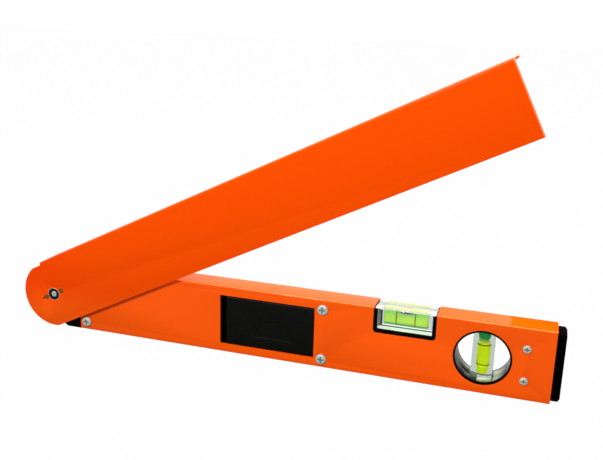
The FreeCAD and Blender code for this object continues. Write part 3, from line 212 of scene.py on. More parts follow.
def moulded(name, colour, pale, roughness, texture_mm=0.35, depth_mm=0.012, sheen=0.08):
    """Moulded plastic: fine spark-eroded grain, dull and shiny patches."""
    plastic = finish(name, colour, roughness, Specular_IOR_Level=sheen)
    colour_clouds(plastic, pale, 5.0, 0.0, 0.8)
    roughness_clouds(plastic, roughness - 0.07, roughness + 0.1, 3.0)
    relief(plastic, depth_mm, cloudiness(plastic, texture_mm, detail=2.0))
    return plastic


def plated(name, colour, dull, roughness, metal_share=0.7):
    """Plated or turned metal with faint tool marks."""
    metal = finish(name, colour, roughness, Metallic=metal_share)
    colour_clouds(metal, dull, 0.8, 0.0, 0.9)
    roughness_clouds(metal, roughness - 0.08, roughness + 0.15, 0.5)
    relief(metal, 0.006, cloudiness(metal, 0.25))
    return metal


def see_through(name, tint, ior, roughness):
    """Clear plastic with the faint waviness of a moulding."""
    clear = finish(name, tint, roughness, Transmission_Weight=1.0, IOR=ior)
    roughness_clouds(clear, roughness, roughness + 0.02, 2.0)
    relief(clear, 0.002, cloudiness(clear, 4.0))
    return clear


TUBE_TOP_MM, ARM_DEGREES, WEB_OVERRUN_MM, EDGE_HIGHLIGHT_MM = 50.0, 26.6, 1.5, 0.9
# where the arm's painted shade near the pivot and its painted light low down run, in millimetres
PIVOT_SHADE_MM = (-160, -212)
LOW_ARM_MM = (34, 12)

orange_paint = painted("orange_paint", (0.97, 0.101, 0.001), (0.94, 0.085, 0.0))
# painted highlight: a pale band along the tube's front top edge, where its rounded edge catches the
# light
stripe(orange_paint, "Z", TUBE_TOP_MM - 0.4, 0.3, (1.0, 0.24, 0.07))
arm_paint = painted("arm_paint", (0.92, 0.076, 0.0), (0.88, 0.064, 0.0), 0.45, 0.22, 1.15)
# painted shade: the arm's paint goes darker towards the pivot, where less light falls
shade_along(arm_paint, "X", *PIVOT_SHADE_MM, (0.89, 0.055, 0.0))
# painted light: the arm's paint goes lighter towards its bottom
shade_along(arm_paint, "Z", *LOW_ARM_MM, (1.0, 0.106, 0.004))
arm_way = Vector((math.cos(math.radians(ARM_DEGREES)), 0, math.sin(math.radians(ARM_DEGREES))))
arm_tip_mm = max(corner.co.dot(arm_way) for corner in nodes["arm_blade"].data.vertices) / MM
# painted highlight: a pale band along the arm's cut end, where its rounded edge catches the light
stripe(arm_paint, "X", arm_tip_mm - WEB_OVERRUN_MM - EDGE_HIGHLIGHT_MM, EDGE_HIGHLIGHT_MM + 0.3,
       (0.95, 0.25, 0.09), ARM_DEGREES)
black_moulding = moulded("black_moulding", (0.0007, 0.0007, 0.0006), (0.0018, 0.0018, 0.0015),
                         0.42, sheen=0.03)
door_moulding = moulded("door_moulding", (0.0032, 0.0036, 0.0026), (0.0044, 0.0048, 0.0036),
                        0.46, sheen=0.05)
# painted highlight: a faint pale line near the door's top edge, under the window's rim
DOOR_HIGHLIGHT_MM = 41.7
stripe(door_moulding, "Z", DOOR_HIGHLIGHT_MM, 0.45, (0.022, 0.027, 0.027))
dull_moulding = moulded("dull_moulding", (0.0003, 0.0003, 0.0003), (0.0008, 0.0008, 0.0008),
                        0.6, sheen=0.01)
# painted highlight: paler than the door, for the light on the edge of the thumb grip
grip_highlight = moulded("grip_highlight", (0.016, 0.017, 0.014), (0.01, 0.011, 0.009), 0.4)
zinc_steel = plated("zinc_steel", (0.56, 0.65, 0.57), (0.46, 0.54, 0.49), 0.55, 0.25)
# painted shade: darker steel for the inside of the cross recesses
recess_shade_steel = plated("recess_shade_steel", (0.25, 0.3, 0.28), (0.17, 0.21, 0.2), 0.6, 0.25)
spring_steel = plated("spring_steel", (0.72, 0.7, 0.66), (0.6, 0.58, 0.53), 0.2)
hub_steel = plated("hub_steel", (0.006, 0.0065, 0.007), (0.012, 0.012, 0.013), 0.4)
# painted highlight for the rim round the pivot collar
collar_highlight = plated("collar_highlight", (0.8, 0.72, 0.68), (0.5, 0.4, 0.36), 0.4)
brass = plated("brass", (0.22, 0.125, 0.012), (0.12, 0.07, 0.01), 0.4)
# painted light: the port ring's inner wall, near black at the front and lighter grey-green further
# back, with pale streaks
sleeve_wall_light = finish("sleeve_wall_light", (0.01, 0.011, 0.008), 0.2, Specular_IOR_Level=0.12)
shade_along(sleeve_wall_light, "Y", 0, 8, (0.2, 0.22, 0.17))
colour_clouds(sleeve_wall_light, (0.5, 0.52, 0.46), 1.1, -0.7, 0.7, (0.05, 1, 0.05))
# silver strip under the plumb block; it glows a little, as painted light
sleeve_silver = plated("sleeve_silver", (0.75, 0.79, 0.7), (0.4, 0.43, 0.34), 0.3)
glow_in_colour(sleeve_silver, 0.3)
# painted reflection: a pale strip with dark streaks on the port's right inner wall, glowing a
# little
sleeve_shine_streaks = finish("sleeve_shine_streaks", (0.42, 0.44, 0.36), 0.3, Specular_IOR_Level=0.12)
colour_clouds(sleeve_shine_streaks, (0.05, 0.055, 0.035), 1.6, 0.0, 0.9, (0.05, 1, 0.05))
glow_in_colour(sleeve_shine_streaks, 0.3)
friction_disc = moulded("friction_disc", (0.72, 0.72, 0.68), (0.62, 0.62, 0.57), 0.5)
clear_block = see_through("clear_block", (0.58, 0.61, 0.67), 1.49, 0.0)
# the lid glows a little, as painted light
block_lid = finish("block_lid", (0.95, 0.97, 0.9), 0.0, Transmission_Weight=0.92, IOR=1.4,
                   Emission_Color=(0.95, 0.97, 0.88, 1), Emission_Strength=0.1)
# painted reflections of the liquid on the block's top: yellow near, yellow-green far, grey-lavender
# at the front edge
near_glint_colour = finish("near_glint_colour", (0.55, 0.6, 0.13), 0.5, Specular_IOR_Level=0.1,
                   Transmission_Weight=0.3)
colour_clouds(near_glint_colour, (0.57, 0.6, 0.25), 5.0)
far_glint_colour = finish("far_glint_colour", (0.42, 0.53, 0.1), 0.5, Specular_IOR_Level=0.1,
                  Transmission_Weight=0.3)
colour_clouds(far_glint_colour, (0.5, 0.56, 0.22), 6.0)
front_glint_colour = finish("front_glint_colour", (0.33, 0.38, 0.37), 0.4, Specular_IOR_Level=0.1,
                    Transmission_Weight=0.3)
colour_clouds(front_glint_colour, (0.42, 0.46, 0.44), 6.0)
relief(block_lid, 0.002, cloudiness(block_lid, 4.0))
grey_block = see_through("grey_block", (0.52, 0.58, 0.54), 1.3, 0.0)
# pale cream bed under the liquid with a dark line across; it glows strongly, as painted light
cream_bed = finish("cream_bed", (0.88, 0.9, 0.7), 0.6)
colour_clouds(cream_bed, (0.97, 0.97, 0.9), 9.0)
stripe(cream_bed, "Y", 1.6, 4.0, (0.02, 0.016, 0.002))
glow_in_colour(cream_bed, 0.75)
# painted look of the air bubble: pale, with painted shade across its top
bubble_skin = finish("bubble_skin", (0.75, 0.8, 0.77), 0.12, Specular_IOR_Level=0.5)
shade_along(bubble_skin, "Z", 45.6, 46.4, (0.07, 0.1, 0.07))
# it glows a little, as painted light
neck_liquid = finish("neck_liquid", (0.72, 0.76, 0.16), 0.2, Emission_Color=(0.7, 0.78, 0.15, 1),
                     Emission_Strength=0.2)
colour_clouds(neck_liquid, (0.5, 0.66, 0.06), 1.5)
clear_window = see_through("clear_window", (0.97, 0.98, 0.975), 1.45, 0.0)
mark_ink = moulded("mark_ink", (0.11, 0.09, 0.01), (0.16, 0.13, 0.015), 0.5)
# it glows a little, as painted light
green_plug = finish("green_plug", (0.0, 0.34, 0.05), 0.3, Specular_IOR_Level=0.08,
                    Emission_Color=(0.0, 0.34, 0.05, 1), Emission_Strength=0.28)
colour_clouds(green_plug, (0.0, 0.4, 0.07), 2.0)
relief(green_plug, 0.004, cloudiness(green_plug, 0.6))
button_rubber = moulded("button_rubber", (0.055, 0.058, 0.06), (0.075, 0.078, 0.08), 0.62, 0.5,
                        0.02)

vial_liquid = finish("vial_liquid", (0.6, 0.87, 0.11), 0.06, Transmission_Weight=0.4,
                     IOR=1.12, Specular_IOR_Level=0.2)
colour_clouds(vial_liquid, (0.7, 0.88, 0.09), 14.0)
# painted light: towards its top the liquid turns a cooler green
shade_along(vial_liquid, "Z", 42.0, 45.5, (0.43, 0.85, 0.17))
# painted shade: a dark green band along the liquid's bottom
shade_along(vial_liquid, "Z", 39.3, 39.0, (0.03, 0.4, 0.04))
# the liquid glows, as painted light
glow_in_colour(vial_liquid, 0.33)
# it glows a little, as painted light
plumb_liquid = finish("plumb_liquid", (0.72, 0.84, 0.0), 0.06, Transmission_Weight=0.3,
                      IOR=1.12, Specular_IOR_Level=0.1, Emission_Color=(0.72, 0.8, 0.0, 1),
                      Emission_Strength=0.33)
colour_clouds(plumb_liquid, (0.6, 0.8, 0.0), 9.0)

circuit_board = finish("circuit_board", (0.008, 0.1, 0.03), 0.35, Specular_IOR_Level=0.4)
colour_clouds(circuit_board, (0.015, 0.16, 0.05), 1.2, 0.0, 1.0, (1, 1, 4))
specks(circuit_board, (0.6, 0.56, 0.42), 3.2, 0.4, 0.9)
relief(circuit_board, 0.02, cloudiness(circuit_board, 1.2, (1, 1, 4)))

cable_film = finish("cable_film", (0.45, 0.16, 0.02), 0.3)
ribs = add(cable_film, "TexWave", bands_direction="Z")
ribs.inputs["Scale"].default_value = 240
rib_place = add(cable_film, "TexCoord")
wire(cable_film, rib_place.outputs["Object"], ribs.inputs["Vector"])
lay_over(cable_film, ribs.outputs["Fac"], (0.62, 0.3, 0.08))

display_glass = finish("display_glass", (0.23, 0.27, 0.19), 0.12, Specular_IOR_Level=0.5)
colour_clouds(display_glass, (0.27, 0.31, 0.22), 18.0)
relief(display_glass, 0.003, cloudiness(display_glass, 1.0))

cell_jacket = finish("cell_jacket", (0.05, 0.055, 0.06), 0.22, Coat_Weight=0.4)
colour_clouds(cell_jacket, (0.07, 0.075, 0.08), 6.0)


# pieces

def piece_from(name, bm, body, slot, *materials):
    """Close the bmesh into a piece that rides on a body, with the given finishes; the slot is not
    used.
    """
    bmesh.ops.recalc_face_normals(bm, faces=bm.faces)
    return carry(name, bm, body, slot, *materials)


def carry(name, bm, body, slot, *materials):
    mesh = bpy.data.meshes.new(name)
    for face in bm.faces:
        face.smooth = True
    bm.to_mesh(mesh)
    bm.free()
    piece = bpy.data.objects.new(name, mesh)
    bpy.context.scene.collection.objects.link(piece)
    for material in materials:
        mesh.materials.append(material)
    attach(piece, body)
    return piece


def merged(node):
    """A node's solid as a bmesh with whole flat faces."""
    bm = bmesh.new()
    bm.from_mesh(nodes[node].data)
    bmesh.ops.remove_doubles(bm, verts=bm.verts, dist=0.002 * MM)
    bmesh.ops.dissolve_limit(bm, angle_limit=math.radians(0.4), verts=bm.verts, edges=bm.edges)
    return bm


def lowered(bm, above_mm, to_mm):
    """Bring everything above one height down to another."""
    for corner in bm.verts:
        if corner.co.z > above_mm * MM:
            corner.co.z = to_mm * MM
    return bm


def soften(piece, edge_mm, sharp_degrees=35):
    """Round every sharp edge a little, as paint, moulding or tumbling leaves it."""
    rounding = piece.modifiers.new("edges", "BEVEL")
    rounding.width = edge_mm * MM
    rounding.segments = 2
    rounding.limit_method = "ANGLE"
    rounding.angle_limit = math.radians(sharp_degrees)
    rounding.harden_normals = True
    rounding.use_clamp_overlap = True


def dress(name, node, body, slot, edge_mm, *materials):
    """The node's own shape with soft edges and a finish."""
    piece = carry(name, merged(node), body, slot, *materials)
    soften(piece, edge_mm)
    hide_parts(node)
    return piece


def refinish(piece, number, wanted):
    """Give the faces that wanted(centre, normal) picks another of the piece's finishes."""
    for face in piece.data.polygons:
        if wanted(face.center, face.normal):
            face.material_index = number


def keep(node, material):
    for place in nodes[node].material_slots:
        place.material = material


def turned(outline_mm, axis, closed=False):
    """Turn an outline of (radius, distance along the axis) points about an axis.

    An open outline starts and ends on the axis, and a closed one makes a ring.
    """
    bm = bmesh.new()
    along = Vector(axis)
    side = Vector((0, 0, 1)) if abs(along.z) < 0.5 else Vector((1, 0, 0))
    points = [bm.verts.new((side * radius + along * far) * MM) for radius, far in outline_mm]
    edges = [bm.edges.new(pair) for pair in zip(points, points[1:])]
    if closed:
        edges.append(bm.edges.new((points[-1], points[0])))
    bmesh.ops.spin(bm, geom=points + edges, cent=(0, 0, 0), axis=along, dvec=(0, 0, 0),
                   angle=math.tau, steps=64, use_merge=True, use_normal_flip=False,
                   use_duplicate=False)
    bmesh.ops.remove_doubles(bm, verts=bm.verts, dist=0.001 * MM)
    return bm


def ring_band(name, axis, middle, radius_mm, width_mm, wall_mm, body, material):
    """A thin ring about an axis; its wall lies half inside and half outside the radius."""
    inner, outer, half = radius_mm - wall_mm / 2, radius_mm + wall_mm / 2, width_mm / 2
    corners = [(inner, -half), (outer, -half), (outer, half), (inner, half)]
    return piece_from(name, moved(turned(corners, axis, closed=True), middle), body,
                      "black_plastic", material)


def block(low, high, edge_mm):
    """A box with rounded edges between two corners, in metres."""
    bm = bmesh.new()
    bmesh.ops.create_cube(bm, size=1.0)
    bmesh.ops.scale(bm, vec=high - low, verts=bm.verts)
    bmesh.ops.translate(bm, vec=(low + high) / 2, verts=bm.verts)
    bmesh.ops.bevel(bm, geom=bm.edges[:], offset=edge_mm * MM, offset_type="OFFSET",
                    segments=2, profile=0.5, affect="EDGES", material=-1,
                    clamp_overlap=True)
    return bm


def moved(bm, to):
    bmesh.ops.translate(bm, vec=to, verts=bm.verts)
    return bm


def carve(piece, tool_bm):
    """Take the tool's shape out of the piece."""
    mesh = bpy.data.meshes.new("tool")
    bmesh.ops.recalc_face_normals(tool_bm, faces=tool_bm.faces)
    tool_bm.to_mesh(mesh)
    tool_bm.free()
    tool = bpy.data.objects.new("tool", mesh)
    bpy.context.scene.collection.objects.link(tool)
    cut = piece.modifiers.new("cut", "BOOLEAN")
    cut.operation = "DIFFERENCE"
    cut.solver = "EXACT"
    cut.object = tool
    bpy.context.view_layer.update()
    shaped = bpy.data.meshes.new_from_object(
        piece.evaluated_get(bpy.context.evaluated_depsgraph_get()))
    piece.modifiers.remove(cut)
    piece.data = shaped
    bpy.data.objects.remove(tool)


# painted metal

dress("painted_tube", "level_tube", "level", "orange_paint", 0.22, orange_paint)
dress("folded_arm", "arm_blade", "arm", "orange_paint", 0.2, arm_paint)

# black mouldings

dress("pivot_head", "pivot_housing", "level", "black_plastic", 0.4, black_moulding)
dress("head_cover", "housing_cover", "level", "black_plastic", 0.3, black_moulding)
dress("black_end_cap", "end_cap", "level", "black_plastic", 0.35, dull_moulding)
CRADLE_TOP_MM = 48.9
cradle = carry("vial_cradle", lowered(merged("vial_frame"), TUBE_TOP_MM - 0.1, CRADLE_TOP_MM),
               "level", "black_plastic", black_moulding)
soften(cradle, 0.2)
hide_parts("vial_frame")
dress("sliding_door", "battery_door", "door", "door_plastic", 0.25, door_moulding)
dress("display_surround", "display_bezel", "level", "black_plastic", 0.3, black_moulding)
keep("module_carrier", dull_moulding)

ring_low, ring_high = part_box("plumb_ring")
RIM_MM = 1.6
ring_bm = merged("plumb_ring")
for face_y in (ring_low.y + RIM_MM * MM, ring_high.y - RIM_MM * MM):
    bmesh.ops.bisect_plane(ring_bm, geom=ring_bm.verts[:] + ring_bm.edges[:] + ring_bm.faces[:],
                           dist=0.001 * MM, plane_co=(0, face_y, 0), plane_no=(0, 1, 0))
port_ring = carry("port_ring", ring_bm, "level", "black_plastic", black_moulding, sleeve_wall_light)
soften(port_ring, 0.2)
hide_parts("plumb_ring")
ring_middle = (ring_low + ring_high) / 2
ring_radius = (ring_high.x - ring_low.x) / 2
# the ring's inner wall takes the second finish, with its painted light
refinish(port_ring, 1, lambda centre, normal:
         abs(normal.y) < 0.3 and abs(centre.y) < ring_high.y - RIM_MM * MM
         and (Vector((centre.x, 0, centre.z)) - Vector((ring_middle.x, 0, ring_middle.z))).length
         < ring_radius - 0.3 * MM)

for label in ("power", "hold", "zero"):
    dress(label + "_key", "button_" + label, label + "_button", "button_rubber", 0.45,
          button_rubber)

door_face_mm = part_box("battery_door")[0].y / MM
# painted highlight: a paler strip along the edge of the door's thumb grip, where the light catches
# it
GRIP_RISE_MM, GRIP_X_MM, GRIP_HALF_MM, GRIP_LINE_MM = 15.1, -17.15, 13.0, 0.3
piece_from("grip_edge_highlight",
           block(Vector((GRIP_X_MM - GRIP_HALF_MM, door_face_mm - 0.02,
                         GRIP_RISE_MM - GRIP_LINE_MM)) * MM,
                 Vector((GRIP_X_MM + GRIP_HALF_MM, door_face_mm + 0.4, GRIP_RISE_MM)) * MM, 0.05),
           "door", "door_plastic", grip_highlight)

# screws: pairs one above the other, with their heads on the back face

HEAD_MM = 1.8
RECESS_TOP_MM, RECESS_FLOOR_MM, RECESS_SHARE = 0.2, 0.95 * HEAD_MM, 0.72


def screw_pair(name, node):
    screws = dress(name, node, "level", "screw_steel", 0.12, zinc_steel, recess_shade_steel)
    low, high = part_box(node)
    radius = (high.x - low.x) / 2
    axes = [Vector(((low.x + high.x) / 2, 0, z)) for z in (low.z + radius, high.z - radius)]

    def in_recess(centre, normal):
        flat = Vector((centre.x, 0, centre.z))
        deep = centre.y - low.y
        return (RECESS_TOP_MM * MM < deep < RECESS_FLOOR_MM * MM
                and min((flat - axis).length for axis in axes) < RECESS_SHARE * radius)

    # the recess faces take the darker steel, as painted shade
    refinish(screws, 1, in_recess)


screw_pair("tube_screws", "housing_screws")
screw_pair("panel_screws", "carrier_screws")
screw_pair("cap_end_screws", "cap_screws")


# keep the rest of the solids, each with its own finish

for node, material in {
        "cover_screws": zinc_steel, "pivot_screw": zinc_steel, "pivot_nut": zinc_steel,
        "pivot_hub": hub_steel, "key_pins": brass, "pivot_washer": spring_steel,
        "switch_domes": spring_steel, "contact_leaves": spring_steel,
        "contact_bridge": spring_steel, "friction_washer": friction_disc,
        "sensor_rotor": circuit_board, "sensor_board": circuit_board,
        "main_board": circuit_board, "flat_cable": cable_film, "battery_upper": cell_jacket,
        "battery_lower": cell_jacket, "lcd_panel": display_glass,
        "display_lens": clear_window}.items():
    keep(node, material)

# painted highlight: a thin pale ring round the pivot collar, where the edge of the hole catches the
# light
COLLAR_MM, COLLAR_LINE_MM = 4.5, 0.3
hub_low, hub_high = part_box("pivot_hub")
hub_middle = (hub_low + hub_high) / 2
ring_band("collar_rim_highlight", (0, 1, 0), Vector((hub_middle.x, hub_low.y + 0.25 * MM, hub_middle.z)),
          COLLAR_MM + COLLAR_LINE_MM / 2, COLLAR_LINE_MM, COLLAR_LINE_MM, "arm", collar_highlight)


# level vial: clear block, liquid with its bubble, two ring marks

def barrel_outline(radius_mm, length_mm, swell_mm, rings=12, dome_mm=0.5):
    """Half outline of a chamber that is wider in its middle, with rounded ends."""
    half = length_mm / 2
    points = [(0, -half), (radius_mm - dome_mm, -half)]
    for step in range(rings + 1):
        far = -half + dome_mm + (length_mm - 2 * dome_mm) * step / rings
        points.append((radius_mm + swell_mm * (1 - (far / half) ** 2), far))
    return points + [(radius_mm - dome_mm, half), (0, half)]


block_low, block_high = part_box("level_vial")
LID_MM, LID_SINK_MM, LID_REACH_MM, LID_GAP_MM = 0.4, 0.1, 1.7, 0.05
lid_top = block_high - Vector((0, 0, LID_SINK_MM)) * MM
lid_low = Vector((block_low.x, block_low.y, lid_top.z - LID_MM * MM))
lid_reach = Vector((LID_REACH_MM, 0, 0)) * MM
level_block = piece_from("level_block",
                         block(block_low, lid_top - Vector((0, 0, LID_MM + LID_GAP_MM)) * MM, 0.3),
                         "level", "clear_acrylic", clear_block)
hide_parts("level_vial")
piece_from("level_lid", block(lid_low - lid_reach, lid_top + lid_reach, 0.15),
           "level", "clear_acrylic", block_lid)


NEAR, FAR = -1, 1


def lid_glint(label, side, inset_mm, depth_mm, half_mm, tint):
    """Painted reflection: what the block's top shows of the liquid, as a thin strip along its near
    or far side.
    """
    reach = Vector((half_mm, depth_mm / 2, 0.02)) * MM
    spot = Vector(((block_low.x + block_high.x) / 2,
                   side * (block_high.y - (inset_mm + depth_mm / 2) * MM), lid_top.z + 0.01 * MM))
    piece_from(label + "_glint", block(spot - reach, spot + reach, 0.005), "level", "vial_liquid",
               tint)


lid_glint("near", NEAR, 2.5, 3.7, 14.6, near_glint_colour)
lid_glint("far", FAR, 0.6, 2.8, 14.6, far_glint_colour)
lid_glint("front", NEAR, 0.05, 2.1, 17.5, front_glint_colour)
BED_TOP_MM = 0.25
bed_inset = Vector((0.4, 0.3, 0.05)) * MM
piece_from("vial_bed", block(block_low + bed_inset,
                             Vector((block_high.x - bed_inset.x, block_high.y - bed_inset.y,
                                     block_low.z + BED_TOP_MM * MM)), 0.05),
           "level", "black_plastic", cream_bed)

END_SHADE_MM, END_LINE_MM = 3.3, 1.1
end_shade = finish("end_shade", (0.13, 0.16, 0.09), 0.4, Specular_IOR_Level=0.1)
colour_clouds(end_shade, (0.2, 0.23, 0.15), 3.0)
stripe(end_shade, "X", block_low.x / MM + END_SHADE_MM - END_LINE_MM, END_LINE_MM,
       (0.012, 0.015, 0.006))
glow_in_colour(end_shade, 0.4)
piece_from("block_end_shade", block(block_low + Vector((0.25, 0.25, 2.6)) * MM,
                                    Vector((block_low.x + END_SHADE_MM * MM,
                                            block_low.y + 0.45 * MM, lid_top.z - 1.0 * MM)), 0.02),
           "level", "black_plastic", end_shade)

level_low, level_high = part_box("level_liquid")
level_middle = (level_low + level_high) / 2
level_radius_mm = (level_high.y - level_low.y) / 2 / MM
SHORTER_MM, SWELL_MM = 1.8, 0.12
level_length_mm = (level_high.x - level_low.x) / MM - SHORTER_MM
level_liquid = piece_from(
    "level_filling",
    moved(turned(barrel_outline(level_radius_mm - SWELL_MM, level_length_mm, SWELL_MM), (1, 0, 0)),
          Vector((level_middle.x, 0, level_high.z - level_radius_mm * MM))),
    "level", "vial_liquid", vial_liquid)


def bubble_shape(half_mm, rise_mm):
    """A flattened ball over the middle of the liquid, with its centre above the liquid's top."""
    ball = bmesh.new()
    bmesh.ops.create_uvsphere(ball, u_segments=48, v_segments=24, radius=1.0)
    bmesh.ops.scale(ball, vec=Vector(half_mm) * MM, verts=ball.verts)
    return moved(ball, Vector((level_middle.x, 0, level_high.z + rise_mm * MM)))


HOLLOW_MM, HOLLOW_RISE_MM = (6.4, 4.0, 3.4), 0.8
SKIN_MM, SKIN_RISE_MM = (5.6, 3.4, 1.25), -1.3
carve(level_liquid, bubble_shape(HOLLOW_MM, HOLLOW_RISE_MM))
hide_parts("level_liquid")
piece_from("air_bubble", bubble_shape(SKIN_MM, SKIN_RISE_MM), "level", "clear_acrylic",
           bubble_skin)
MARK_AWAY_MM, MARK_WALL_MM, MARK_LIFT_MM = 6.3, 0.12, 0.05
for number, away_mm in ((1, -MARK_AWAY_MM), (2, MARK_AWAY_MM)):
    ring_band(f"level_mark_{number}", (1, 0, 0),
              Vector((level_middle.x + away_mm * MM, 0, level_high.z - level_radius_mm * MM)),
              level_radius_mm + MARK_LIFT_MM, 0.6, MARK_WALL_MM, "level", mark_ink)

# plumb vial in the round port

plumb_low, plumb_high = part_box("plumb_vial")
plumb_block = piece_from("plumb_block", block(plumb_low, plumb_high, 0.35), "level",
                         "clear_acrylic", grey_block)
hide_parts("plumb_vial")
filling_low, filling_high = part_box("plumb_liquid")
TIP_MM, SHOULDER_MM, SHOULDER_RISE_MM, TAPER_MM = 2.9, 3.4, 0.6, 7.5
TOP_DROP_MM, TOP_EDGE_MM, WALL_GAP_MM, SIDESTEP_MM = 0.8, 0.6, 0.3, 0.2
vial_middle = (filling_low + filling_high) / 2
filling_middle = vial_middle + Vector((SIDESTEP_MM, 0, 0)) * MM
half_mm = (filling_high.z - filling_low.z) / 2 / MM
wide_mm = (filling_high.x - filling_low.x) / 2 / MM - WALL_GAP_MM
filling = piece_from(
    "plumb_filling",
    moved(turned([(0, -half_mm), (TIP_MM, -half_mm), (SHOULDER_MM, SHOULDER_RISE_MM - half_mm),
                  (wide_mm, TAPER_MM - half_mm), (wide_mm, half_mm - TOP_DROP_MM - TOP_EDGE_MM),
                  (wide_mm - 0.5, half_mm - TOP_DROP_MM), (0, half_mm - TOP_DROP_MM)],
                 (0, 0, 1)), filling_middle),
    "level", "vial_liquid", plumb_liquid)
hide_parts("plumb_liquid")
UPPER_MARK_MM, LOWER_MARK_MM = 32.0, 18.2
for number, height_mm in ((1, UPPER_MARK_MM), (2, LOWER_MARK_MM)):
    ring_band(f"plumb_mark_{number}", (0, 0, 1), Vector((filling_middle.x, 0, height_mm * MM)),
              wide_mm + MARK_LIFT_MM, 0.7, MARK_WALL_MM, "level", mark_ink)


def wall_strip(inner_mm, outer_mm, from_mm, to_mm, half_width_mm):
    """A strip that follows the port ring's wall, between two distances right of its middle."""
    strip = bmesh.new()
    arc = [Vector((ring_middle.x + math.sin(turn) * radius_mm * MM, 0,
                   ring_middle.z - math.cos(turn) * radius_mm * MM))
           for radius_mm, order in ((inner_mm, range(17)), (outer_mm, range(16, -1, -1)))
           for turn in (math.asin((from_mm + (to_mm - from_mm) * step / 16) / radius_mm)
                        for step in order)]
    side = strip.faces.new([strip.verts.new(point - Vector((0, half_width_mm * MM, 0)))
                            for point in arc])
    swept = bmesh.ops.extrude_face_region(strip, geom=[side])
    bmesh.ops.translate(strip, vec=(0, 2 * half_width_mm * MM, 0),
                        verts=[item for item in swept["geom"]
                               if isinstance(item, bmesh.types.BMVert)])
    return strip


UNDER_BLOCK_MM, RIGHT_WALL_MM = (17.65, 18.5), (17.6, 17.9)
SLOT_HALF_MM, SHADOW_END_MM, DEEP_HALF_MM = 6.85, -2.65, 6.8
piece_from("sleeve_foot",
           wall_strip(*UNDER_BLOCK_MM, SHADOW_END_MM + 0.05, SLOT_HALF_MM, DEEP_HALF_MM),
           "level", "black_plastic", sleeve_silver)
piece_from("sleeve_foot_shadow",
           wall_strip(*UNDER_BLOCK_MM, -SLOT_HALF_MM, SHADOW_END_MM, DEEP_HALF_MM),
           "level", "black_plastic", sleeve_wall_light)
# the painted reflection fades to dark towards the right
shade_along(sleeve_shine_streaks, "X", ring_middle.x / MM + 10, ring_middle.x / MM + 15,
            (0.03, 0.033, 0.025))
SHINE_FROM_MM, SHINE_TO_MM, SHINE_HALF_MM = 7.62, 15.4, 7.6
piece_from("sleeve_shine",
           wall_strip(*RIGHT_WALL_MM, SHINE_FROM_MM, SHINE_TO_MM, SHINE_HALF_MM),
           "level", "black_plastic", sleeve_shine_streaks)
NECK_HALF_MM, NECK_WIDE_MM = 0.6, 3.5
piece_from("liquid_neck",
           moved(turned([(0, -NECK_HALF_MM), (NECK_WIDE_MM - 0.4, -NECK_HALF_MM),
                         (NECK_WIDE_MM, 0.0), (NECK_WIDE_MM - 0.3, NECK_HALF_MM),
                         (0, NECK_HALF_MM)], (0, 0, 1)),
                 Vector((vial_middle.x, 0, filling_high.z + 0.75 * MM))),
           "level", "vial_liquid", neck_liquid)

plug_low, plug_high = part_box("plumb_plug")
plug_half_mm = (plug_high.z - plug_low.z) / 2 / MM
plug_radius_mm = (plug_high.x - plug_low.x) / 2 / MM
PLUG_TIP_MM, PLUG_TAPER_MM, PLUG_EDGE_MM = 3.5, 5.5, 0.3
plug = piece_from(
    "vial_plug",
    moved(turned([(0, -plug_half_mm), (PLUG_TIP_MM - 0.4, -plug_half_mm),
                  (PLUG_TIP_MM, 0.4 - plug_half_mm), (plug_radius_mm, PLUG_TAPER_MM - plug_half_mm),
                  (plug_radius_mm, plug_half_mm - PLUG_EDGE_MM),
                  (plug_radius_mm - PLUG_EDGE_MM, plug_half_mm), (0, plug_half_mm)], (0, 0, 1)),
          (plug_low + plug_high) / 2),
    "level", "green_plug", green_plug)
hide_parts("plumb_plug")


# camera at the photograph's angle, as fitted to the straight edges of the photograph

camera = bpy.data.objects.new("camera", bpy.data.cameras.new("camera"))
bpy.context.scene.collection.objects.link(camera)
camera.data.lens = 46.961
camera.data.sensor_width = 36
camera.data.clip_start = 0.01
camera.location = (0.15192, -0.495274, 0.240861)
TURN_LEFT, LOOK_DOWN, ROLL = 17.13945, 15.72249, 1.67848
camera.rotation_euler = (Matrix.Rotation(math.radians(TURN_LEFT), 3, "Z")
                         @ Matrix.Rotation(math.radians(90 - LOOK_DOWN), 3, "X")
                         @ Matrix.Rotation(math.radians(ROLL), 3, "Z")).to_euler()
bpy.context.scene.camera = camera


# studio: floor and surroundings that the camera sees as white, two soft lamps

def left_of(owner, edge, blur):
    """1 for directions left of an edge and 0 right of it, as shares of the way to the side."""
    towards = add(owner, "TexCoord")
    split = add(owner, "SeparateXYZ")
    wire(owner, towards.outputs["Generated"], split.inputs["Vector"])
    return remap(owner, split.outputs["X"], 1, 0, edge - blur, edge + blur)


def white_to_camera(owner, kind, shader_socket, target, share, mirrored):
    """Camera and transmission rays see plain white by that share, glossy ones by a part of it."""
    rays = add(owner, "LightPath").outputs
    straight = combine(owner, "MAXIMUM", rays["Is Camera Ray"], rays["Is Transmission Ray"])
    glossy = combine(owner, "MULTIPLY", rays["Is Glossy Ray"], mirrored)
    part = combine(owner, "MULTIPLY", combine(owner, "MAXIMUM", straight, glossy), share)
    white = add(owner, kind)
    white.inputs["Color"].default_value = (1, 1, 1, 1)
    mix = add(owner, "MixShader")
    wire(owner, part, mix.inputs["Fac"])
    wire(owner, shader_socket, mix.inputs[1])
    wire(owner, white.outputs[0], mix.inputs[2])
    wire(owner, mix.outputs[0], target)


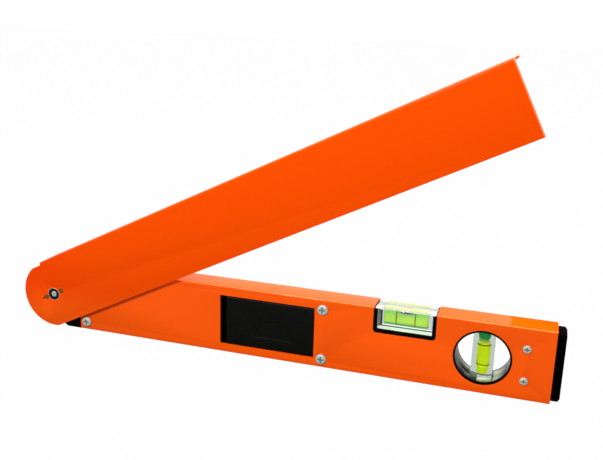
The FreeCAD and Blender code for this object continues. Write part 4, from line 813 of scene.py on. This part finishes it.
floor_mesh = bmesh.new()
bmesh.ops.create_grid(floor_mesh, x_segments=1, y_segments=1, size=6.0)
bmesh.ops.translate(floor_mesh, vec=(0, 0, -0.3 * MM), verts=floor_mesh.verts)
mesh = bpy.data.meshes.new("floor")
floor_mesh.to_mesh(mesh)
floor_mesh.free()
floor = bpy.data.objects.new("floor", mesh)
bpy.context.scene.collection.objects.link(floor)
pale_floor = finish("pale_floor", (0.22, 0.22, 0.22), 0.9, Specular_IOR_Level=0.0)
mesh.materials.append(pale_floor)
FLOOR_WHITE, FLOOR_MIRRORED = 0.985, 0.2
white_to_camera(pale_floor, "Emission", shader_of(pale_floor).outputs[0],
                pale_floor.node_tree.nodes["Material Output"].inputs["Surface"],
                FLOOR_WHITE, FLOOR_MIRRORED)

DOME_STRENGTH, BACKDROP_EDGE, BACKDROP_BLUR = 0.3, 0.028, 0.005
world = bpy.data.worlds.new("studio")
bpy.context.scene.world = world
world.use_nodes = True
dome = world.node_tree.nodes["Background"]
dome.inputs["Color"].default_value = (1, 1, 1, 1)
is_glossy = add(world, "LightPath").outputs["Is Glossy Ray"]
wire(world, remap(world, is_glossy, DOME_STRENGTH, 0, 0, 1), dome.inputs["Strength"])
white_to_camera(world, "Background", dome.outputs[0],
                world.node_tree.nodes["World Output"].inputs["Surface"],
                1.0, left_of(world, BACKDROP_EDGE, BACKDROP_BLUR))


def soft_lamp(name, place, aim, width, height, watts):
    lamp = bpy.data.lights.new(name, "AREA")
    lamp.shape = "RECTANGLE"
    lamp.size = width
    lamp.size_y = height
    lamp.energy = watts
    holder = bpy.data.objects.new(name, lamp)
    bpy.context.scene.collection.objects.link(holder)
    holder.location = place
    holder.rotation_euler = (Vector(aim) - Vector(place)).to_track_quat("-Z", "Y").to_euler()


soft_lamp("key_lamp", (-0.1, -1.2, 1.05), (0, 0, 0.05), 0.35, 0.2, 19.5)
soft_lamp("top_lamp", (0.1, 0.45, 1.15), (0, 0, 0.05), 1.2, 0.8, 30)

bpy.context.scene.view_settings.view_transform = "Standard"
